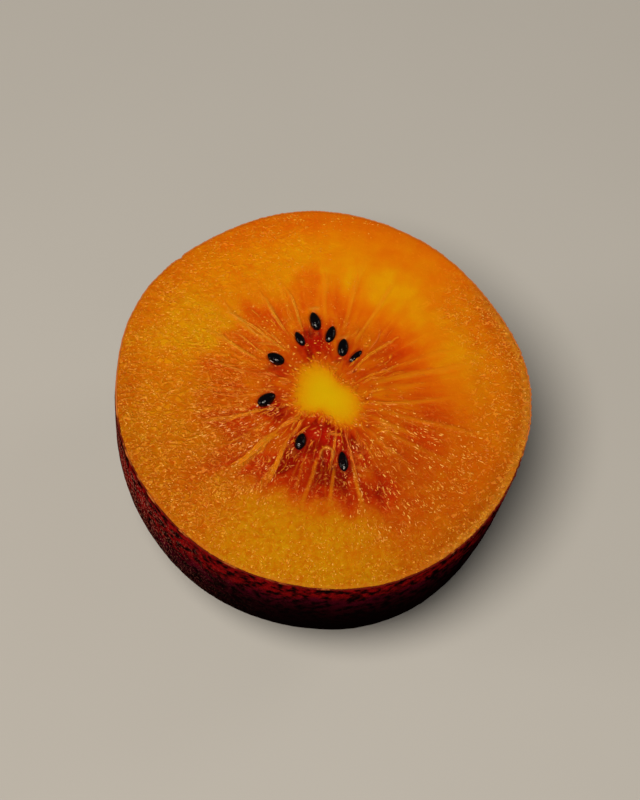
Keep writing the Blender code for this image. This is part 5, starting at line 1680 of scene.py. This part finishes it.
def build_strands(material):
    """The torn strands round the core, each a thin flattened thread that lies half in the flesh."""
    sides = 8
    lines = []
    for number, row in enumerate(STROKES + tuple(BITS) + tuple(fur(115, 501)) + tuple(HAIRS)):
        path, t = along(row[3:], 0.12)
        far = np.concatenate([[0.0], np.cumsum(np.hypot(*np.diff(path, axis=0).T))])
        ahead = np.gradient(path, axis=0)
        ahead /= np.maximum(np.hypot(ahead[:, 0], ahead[:, 1]), 1e-9)[:, None]
        side = np.stack([-ahead[:, 1], ahead[:, 0]], -1)
        # A broad strand is a bundle of threads that wander and break.
        luck = scatter(number + 0 * np.arange(18), np.arange(18), 516)
        threads = 1 if number >= len(STROKES) or row[1] < 0.17 else (2 if row[1] < 0.25 else 4)
        for j in range(threads):
            n = np.full(len(path), number + 0.31 * j)
            out = (j - 0.5 * (threads - 1)) * row[1] * (0.66 if threads == 2 else 0.46)
            out = out + row[1] * (0.16 + 0.16 * (threads > 1)) * noise(far * 1.1 + 3.0 * n, n, 515)
            line = path + side * np.asarray(out)[:, None]
            line = line + 0.03 * np.stack([noise(t * 9.0 + n, n, 511), noise(t * 9.0 + n, n + 0.5, 512)], -1)
            first, last = (0, len(line)) if threads == 1 else (int(0.22 * len(line) * luck[j]), len(line) - int(0.25 * len(line) * luck[6 + j]))
            if last - first < 5:
                first, last = 0, len(line)
            keep = slice(first, last)
            slim = 1.0 if threads == 1 else (0.66 if threads == 2 else 0.50)
            lines.append((row, line[keep], np.linspace(0.0, 1.0, last - first), n[keep], far[keep], slim, threads, luck[12 + j]))
    whole = np.concatenate([item[1] for item in lines])
    tint, height = face_at(whole[:, 0], whole[:, 1])[:2]
    lift = raised(whole[:, 0], whole[:, 1])
    points, quads, ends, shown = [], [], [], []
    count = begin = 0
    wheel = 2.0 * math.pi * np.arange(sides) / sides
    for row, line, t, n, far, slim, threads, luck in lines:
        here = slice(begin, begin + len(line))
        begin += len(line)
        ahead = np.gradient(line, axis=0)
        ahead /= np.maximum(np.hypot(ahead[:, 0], ahead[:, 1]), 1e-9)[:, None]
        thin = (0.22 + 0.78 * step(0.0, 0.24, t) * step(1.0, 0.66, t)) * (1.0 + 0.34 * noise(far * 1.7, n, 513))
        half = 0.58 * row[1] * thin * slim
        rise = (0.20 * row[1] * slim + 0.016) * thin
        # It dips into the flesh and comes out again; in the upper left the strands hardly stand out at all.
        soft = row[3][0] < -2.2 and row[3][1] > 4.0
        rise = rise * (0.38 if soft else 1.0)
        dip = (-0.56 if soft else -0.16) + 0.75 * np.minimum(noise(far * 0.9 + 5.0 * n, n, 518), 0.0)
        across = half[:, None] * np.cos(wheel)
        x = line[:, 0, None] - ahead[:, 1, None] * across
        y = line[:, 1, None] + ahead[:, 0, None] * across
        z = CUT_Z + height[here][:, None] + (dip * rise)[:, None] + rise[:, None] * np.sin(wheel)
        y = y - lift[here][:, None]
        points.append(to_row(x - FACE_AT[0], y - FACE_AT[1], z).reshape(-1, 3))
        pink = float(np.clip(row[2] + (0.45 * luck - 0.10 if threads > 1 else 0.0), -0.2, 1.0))
        pale = np.array([0.80, 0.245, 0.006]) * (1.0 - pink) + np.array([0.80, 0.180, 0.024]) * pink
        if soft:
            pale = pale * (1.03, 1.24, 1.9)
        share = np.clip(row[0] * 1.05, 0.0, 1.0) * (0.20 + 0.80 * step(0.0, 0.20, t) * step(1.0, 0.70, t))
        share = np.clip(share * (1.0 + 0.65 * noise(far * 2.2, n + 0.3, 514)), 0.0, 1.0)
        mixed = tint[here] * (1.0 - share[:, None]) + pale * share[:, None]
        # The sides take the colour of the flesh round them.
        top = (0.30 + 0.70 * step(0.0, 0.75, np.sin(wheel)))[None, :, None] * share[:, None, None]
        shown.append((tint[here][:, None] * ((1.03, 1.0, 1.0) if soft else (1.0, 0.90, 0.8)) * (1.0 - top) + pale * top).reshape(-1, 3))
        index = count + np.arange(len(line) * sides).reshape(len(line), sides)
        quads.append(np.stack([index[:-1], np.roll(index[:-1], -1, 1), np.roll(index[1:], -1, 1), index[1:]], -1).reshape(-1, 4))
        count += len(line) * sides
        # Close both ends.
        for ring, place, back in ((index[0], 0, True), (index[-1], -1, False)):
            tip = line[place] - ahead[place] * (0.6 * half[place] if back else -0.6 * half[place])
            tip = tip - (0.0, lift[here][place])
            points.append(to_row(np.array([tip[0] - FACE_AT[0]]), np.array([tip[1] - FACE_AT[1]]), np.array([CUT_Z + height[here][place] + dip[place] * rise[place]])))
            shown.append(mixed[place][None])
            fan = np.stack([np.full(sides, count), np.roll(ring, -1), ring], -1)
            ends.append(fan if back else fan[:, ::-1])
            count += 1
    piece = mesh_piece("kiwi_strands", np.concatenate(points), [np.concatenate(quads), np.concatenate(ends)], material)
    put(piece.data, "tint", np.concatenate(shown))
    return piece


# Scattered scraps, painted as glints: (how many, seed, direction, half width, from radius, to radius, lies along: 0
# outwards or 1 across the picture, lean either way, half length from, to, half width from, to, strength from, to, pink
# from, to).
SPRINKLES = (
    (460, 601, -50.0, 36.0, 7.0, 20.5, 0, 30.0, 0.12, 0.44, 0.062, 0.098, 0.35, 1.10, 0.2, 1.0),
    (60, 602, -100.0, 28.0, 6.0, 15.0, 0, 45.0, 0.12, 0.30, 0.060, 0.095, 0.10, 0.80, 0.9, 1.6),
    (320, 603, -144.0, 30.0, 6.5, 17.0, 0, 44.0, 0.12, 0.44, 0.065, 0.105, 0.32, 1.10, 0.2, 1.0),
    (230, 604, -178.0, 26.0, 6.5, 16.5, 1, 26.0, 0.14, 0.46, 0.065, 0.100, 0.20, 0.85, 0.1, 0.8),
    (40, 605, 142.0, 20.0, 7.0, 15.0, 1, 50.0, 0.10, 0.24, 0.075, 0.110, 0.40, 1.10, 0.0, 0.4),
    (40, 606, 20.0, 40.0, 5.5, 10.0, 0, 40.0, 0.09, 0.22, 0.060, 0.090, 0.25, 0.90, 0.0, 0.7),
    (260, 607, 2.0, 46.0, 17.5, 25.5, 0, 90.0, 0.14, 0.36, 0.065, 0.100, 0.15, 0.70, 0.0, 0.4),
    (300, 608, -72.0, 42.0, 17.0, 25.8, 0, 90.0, 0.09, 0.20, 0.070, 0.110, 0.15, 0.95, 0.0, 0.4),
    (430, 609, -170.0, 44.0, 17.5, 26.5, 1, 50.0, 0.08, 0.20, 0.065, 0.100, 0.40, 1.10, 0.0, 0.6),
    (120, 610, 120.0, 34.0, 18.0, 26.0, 1, 32.0, 0.12, 0.36, 0.075, 0.115, 0.15, 0.75, 0.0, 0.5),
    (60, 611, 88.0, 14.0, 9.0, 16.0, 1, 60.0, 0.07, 0.14, 0.070, 0.100, 0.20, 0.80, 0.0, 0.6),
    (150, 612, 16.0, 24.0, 18.5, 25.6, 0, 90.0, 0.07, 0.13, 0.060, 0.090, 0.50, 1.10, 0.0, 0.3),
    (84, 615, 126.0, 32.0, 11.5, 22.5, 0, 90.0, 0.08, 0.16, 0.070, 0.110, 0.30, 0.92, 0.0, 0.0),
    (60, 613, 56.0, 30.0, 24.3, 26.5, 0, 90.0, 0.08, 0.16, 0.068, 0.100, 0.55, 1.15, 0.0, 0.4),
    (70, 616, 104.0, 32.0, 22.5, 26.5, 1, 30.0, 0.10, 0.28, 0.080, 0.120, 0.30, 0.90, 0.0, 0.1),
    (70, 614, 152.0, 30.0, 8.0, 19.0, 1, 40.0, 0.07, 0.16, 0.060, 0.090, 0.30, 1.00, 0.0, 0.5),
    (30, 617, 104.0, 34.0, 4.4, 7.6, 1, 50.0, 0.09, 0.24, 0.065, 0.100, 0.45, 1.10, 0.3, 1.1),
)


# Light caught by the wet edges of the seeds: (x, y, half length, half width, direction, height above the cut).
SHINES = (
    (-7.80, -0.72, 0.17, 0.10, 40.0, 0.10),
    (-6.50, -0.62, 0.34, 0.055, -4.0, 0.16),
    (-5.24, 5.57, 0.25, 0.085, -62.0, 0.50),
    (-6.16, 5.28, 0.40, 0.050, -33.0, 0.30),
    (0.70, 8.38, 0.24, 0.055, 20.0, 0.26),
    (2.30, 6.45, 0.20, 0.055, 15.0, 0.24),
    (3.45, 5.62, 0.22, 0.050, 40.0, 0.12),
    (-0.72, 9.95, 0.18, 0.060, -5.0, 0.26),
    (-2.42, 7.80, 0.14, 0.050, 10.0, 0.16),
)


def sprinkle(count, seed, way, half, low, high, across, lean, long_low, long_high, wide_low, wide_high, weak, strong, pink_low, pink_high):
    """Scraps scattered over one part of the cut in loose clusters, as glints."""
    k = np.arange(8 * count)

    def chance(more):
        return scatter(k, 0 * k + 3, seed + more)

    a = np.radians(way + half * (2.0 * chance(11) - 1.0) * (0.75 + 0.25 * chance(12)))
    r = np.sqrt(low**2 + (high**2 - low**2) * chance(13))
    x, y = CORE_AT[0] + r * np.cos(a), CORE_AT[1] + r * np.sin(a)
    fx, fy = x - FACE_AT[0], y - FACE_AT[1]
    share = np.hypot(fx, fy) / outline(np.arctan2(fy, fx))
    thick = noise(x * 0.55, y * 0.55, seed) + 0.7 * noise(x * 1.4, y * 1.4, seed + 1)
    kept = (chance(14) < step(-0.35, 0.55, thick)) & (share < 0.982) & (core_field(x, y) > 1.30)
    for s in SEEDS:
        u, v = seed_frame(x, y, s)
        kept &= np.hypot(u / (0.5 * s[2] + 0.2), v / (0.5 * s[3] + 0.2)) > 1.0
    k = k[kept][:count]
    x, y, a = x[kept][:count], y[kept][:count], a[kept][:count]
    turn = (np.zeros(len(x)) if across else np.degrees(a)) + lean * (chance(15) + chance(16) - 1.0)
    long = long_low + (long_high - long_low) * chance(17) ** 2.0
    wide = wide_low + (wide_high - wide_low) * chance(18)
    bright = weak + (strong - weak) * chance(19) ** 1.5
    pink = pink_low + (pink_high - pink_low) * chance(20)
    return [tuple(float(value) for value in row) for row in zip(x, y, long, np.minimum(wide, long), turn, bright, pink)]


def juice_glint_finish():
    material, tree, shader = new_material("kiwi_juice_glints")
    web = Web(tree)
    tint = web.node("ShaderNodeAttribute", attribute_name="tint").outputs["Color"]
    place = web.node("ShaderNodeTexCoord").outputs["Object"]
    mm = web.vector("MULTIPLY", place, (1000.0, 1000.0, 1000.0))
    web.feed(shader.inputs["Base Color"], web.mix(1.0, tint, web.mix(web.noise(mm, 2.6, 2.0, 0.6), colour(0.84, 0.78, 0.7), colour(1.12, 1.18, 1.2)), "MULTIPLY"))
    shader.inputs["Roughness"].default_value = 0.14
    shader.inputs["IOR"].default_value = 1.36
    shader.inputs["Specular IOR Level"].default_value = 0.30
    shader.inputs["Specular Tint"].default_value = colour(1.0, 0.58, 0.22)
    shader.inputs["Subsurface Weight"].default_value = 0.25
    shader.inputs["Subsurface Radius"].default_value = (1.0, 0.4, 0.15)
    shader.inputs["Subsurface Scale"].default_value = 0.00006
    return material


def build_juice_glints(material):
    """Small wet beads and scraps on the torn flesh, painted in pale colours as highlights: the traced glints, and many
    more scattered between them.
    """
    rows = list(GLINTS)
    for row in SPRINKLES:
        rows += sprinkle(*row)
    scattered = len(rows)
    rows += [(*row[:5], 1.0, 0.0) for row in SHINES]
    sides, levels = 8, 4
    whole = np.array([row[:2] for row in rows], float)
    tint, height = face_at(whole[:, 0], whole[:, 1])[:2]
    lift = raised(whole[:, 0], whole[:, 1])
    wheel = 2.0 * math.pi * np.arange(sides) / sides
    points, quads, ends, shown = [], [], [], []
    count = 0
    for i, row in enumerate(rows):
        cx, cy, long, wide, turn, strong, pink = row
        long, wide = max(0.80 * long, 0.052), max(0.82 * wide, 0.043)
        tall = 0.50 * wide
        curl_up = 0.0 if i < len(GLINTS) or i >= scattered else 0.9 * math.sin(i * 2.4)
        c, s = math.cos(math.radians(turn)), math.sin(math.radians(turn))
        lat = np.linspace(-0.5 * math.pi, 0.5 * math.pi, levels + 2)[1:-1, None]
        u = long * np.cos(lat) * np.cos(wheel)
        v = wide * np.cos(lat) * np.sin(wheel) + (0.25 * wide + 0.30 * curl_up * long) * (u / long) ** 2
        up = tall * np.sin(lat) + 0.0 * u
        level = CUT_Z + height[i] + 0.15 * tall
        if i >= scattered:
            long, level = SHINES[i - scattered][2], CUT_Z + 0.5 * FACE_CROWN + SHINES[i - scattered][5]
        cy = cy - lift[i]
        x, y = cx + u * c - v * s - FACE_AT[0], cy + u * s + v * c - FACE_AT[1]
        points.append(to_row(x, y, level + up).reshape(-1, 3))
        for z in (-tall, tall):
            points.append(to_row(np.array([cx - FACE_AT[0]]), np.array([cy - FACE_AT[1]]), np.array([level + z])))
        # Each bead is painted in a pale glint colour: a painted highlight.
        shine = np.array([0.88, 0.345, 0.020]) * (1.0 - pink) + np.array([0.88, 0.27, 0.050]) * pink
        # The brightest ones show the light itself, most of all in the red flesh in front of the core.
        front = cx < 5.0 and cy < -1.5 and math.hypot(cx, cy) < 13.5
        glare = (0.86 if front else 0.65) * min(max((strong - 0.66) / 0.30, 0.0), 1.0)
        shine = shine + (np.array([0.97, 0.46, 0.19] if front else ([1.0, 0.50, 0.045] if cy > 3.0 and cx < 4.0 else [1.0, 0.54, 0.12])) - shine) * glare
        if i >= scattered:
            shine = np.array([0.72, 0.52, 0.50])
        share = min(1.0, 0.15 + 0.85 * strong)
        mixed = tint[i] * (1.0 - share) + shine * share
        index = count + np.arange(levels * sides).reshape(levels, sides)
        quads.append(np.stack([index[:-1], np.roll(index[:-1], -1, 1), np.roll(index[1:], -1, 1), index[1:]], -1).reshape(-1, 4))
        low, high = count + levels * sides, count + levels * sides + 1
        ends.append(np.stack([np.full(sides, low), np.roll(index[0], -1), index[0]], -1))
        ends.append(np.stack([np.full(sides, high), index[-1], np.roll(index[-1], -1)], -1))
        shown.append(np.tile(mixed, (levels * sides + 2, 1)))
        count += levels * sides + 2
    piece = mesh_piece("kiwi_juice_glints", np.concatenate(points), [np.concatenate(quads), np.concatenate(ends)], material)
    put(piece.data, "tint", np.concatenate(shown))
    return piece


# ---------------------------------------------------------------- put together
flesh = build_flesh(flesh_finish())
skin = build_skin(skin_finish())
seeds = build_seeds(seed_finish())
strings = build_strands(tissue_finish())
juice_glints = build_juice_glints(juice_glint_finish())
for piece, name in ((flesh, "flesh"), (skin, "skin"), (seeds, "seed"), (strings, "flesh"), (juice_glints, "flesh")):
    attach(piece, "root")
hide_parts("kiwi_half")
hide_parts("kiwi_half")


# ---------------------------------------------------------------- floor, light and camera
def floor_finish():
    material, tree, shader = new_material("floor")
    web = Web(tree)
    place = web.node("ShaderNodeTexCoord").outputs["Object"]
    mottle = web.noise(place, 22.0, 3.0)
    web.feed(shader.inputs["Base Color"], web.mix(mottle, colour(0.50, 0.485, 0.46), colour(0.53, 0.515, 0.49)))
    shader.inputs["Roughness"].default_value = 0.8
    shader.inputs["Specular IOR Level"].default_value = 0.1
    return material


def build_floor():
    line = np.linspace(-1.5, 1.5, 13)
    u, v = np.meshgrid(line, line)
    index = np.arange(u.size).reshape(u.shape)
    quads = np.stack([index[:-1, :-1], index[:-1, 1:], index[1:, 1:], index[1:, :-1]], -1).reshape(-1, 4)
    piece = mesh_piece("floor", np.stack([u.ravel(), v.ravel(), np.full(u.size, -0.00005)], -1), [quads], floor_finish())
    return piece


def area_light(name, direction, distance, size, power, tone, target):
    lamp = bpy.data.lights.new(name, "AREA")
    lamp.shape = "DISK"
    lamp.size = size
    lamp.energy = power
    lamp.color = tone
    item = bpy.data.objects.new(name, lamp)
    bpy.context.scene.collection.objects.link(item)
    direction = Vector(direction).normalized()
    item.location = target + direction * distance
    item.rotation_mode = "QUATERNION"
    item.rotation_quaternion = direction.to_track_quat("Z", "Y")
    return item


build_floor()
centre = Vector((0.0, 0.0, 0.022))
area_light("key", (-0.16, -0.34, 0.93), 0.60, 0.24, 3.45, (1.0, 0.93, 0.82), centre)
area_light("side", (-0.93, -0.10, 0.34), 0.55, 0.16, 0.35, (1.0, 0.90, 0.82), centre)
area_light("rim", (0.80, 0.35, 0.48), 0.60, 0.20, 0.25, (1.0, 0.94, 0.88), centre)

world = bpy.data.worlds.new("studio")
world.use_nodes = True
world.node_tree.nodes["Background"].inputs["Color"].default_value = (1.0, 0.97, 0.93, 1.0)
world.node_tree.nodes["Background"].inputs["Strength"].default_value = 0.045
bpy.context.scene.world = world

# The camera looks down on the cut from 62 degrees above the horizon.
ELEVATION = math.radians(62.0)
DISTANCE = 0.26645
face_zero = Vector(((-FACE_AT[0] - SHIFT_X) * MM, (-FACE_AT[1] - SHIFT_Y) * MM, CUT_Z * MM))
back = Vector((0.0, -math.cos(ELEVATION), math.sin(ELEVATION)))
right = Vector((1.0, 0.0, 0.0))
up = back.cross(right)
cam = bpy.data.cameras.new("camera")
cam.lens = 100.0
cam.sensor_width = 36.0
cam.clip_start = 0.01
cam.clip_end = 10.0
camera = bpy.data.objects.new("camera", cam)
bpy.context.scene.collection.objects.link(camera)
camera.location = face_zero + back * DISTANCE - right * 0.00030 + up * 0.00006
camera.rotation_mode = "QUATERNION"
camera.rotation_quaternion = back.to_track_quat("Z", "Y")
bpy.context.scene.camera = camera

settings = bpy.context.scene.view_settings
settings.view_transform = "Standard"
settings.look = "None"
settings.exposure = 0.0
settings.gamma = 1.0
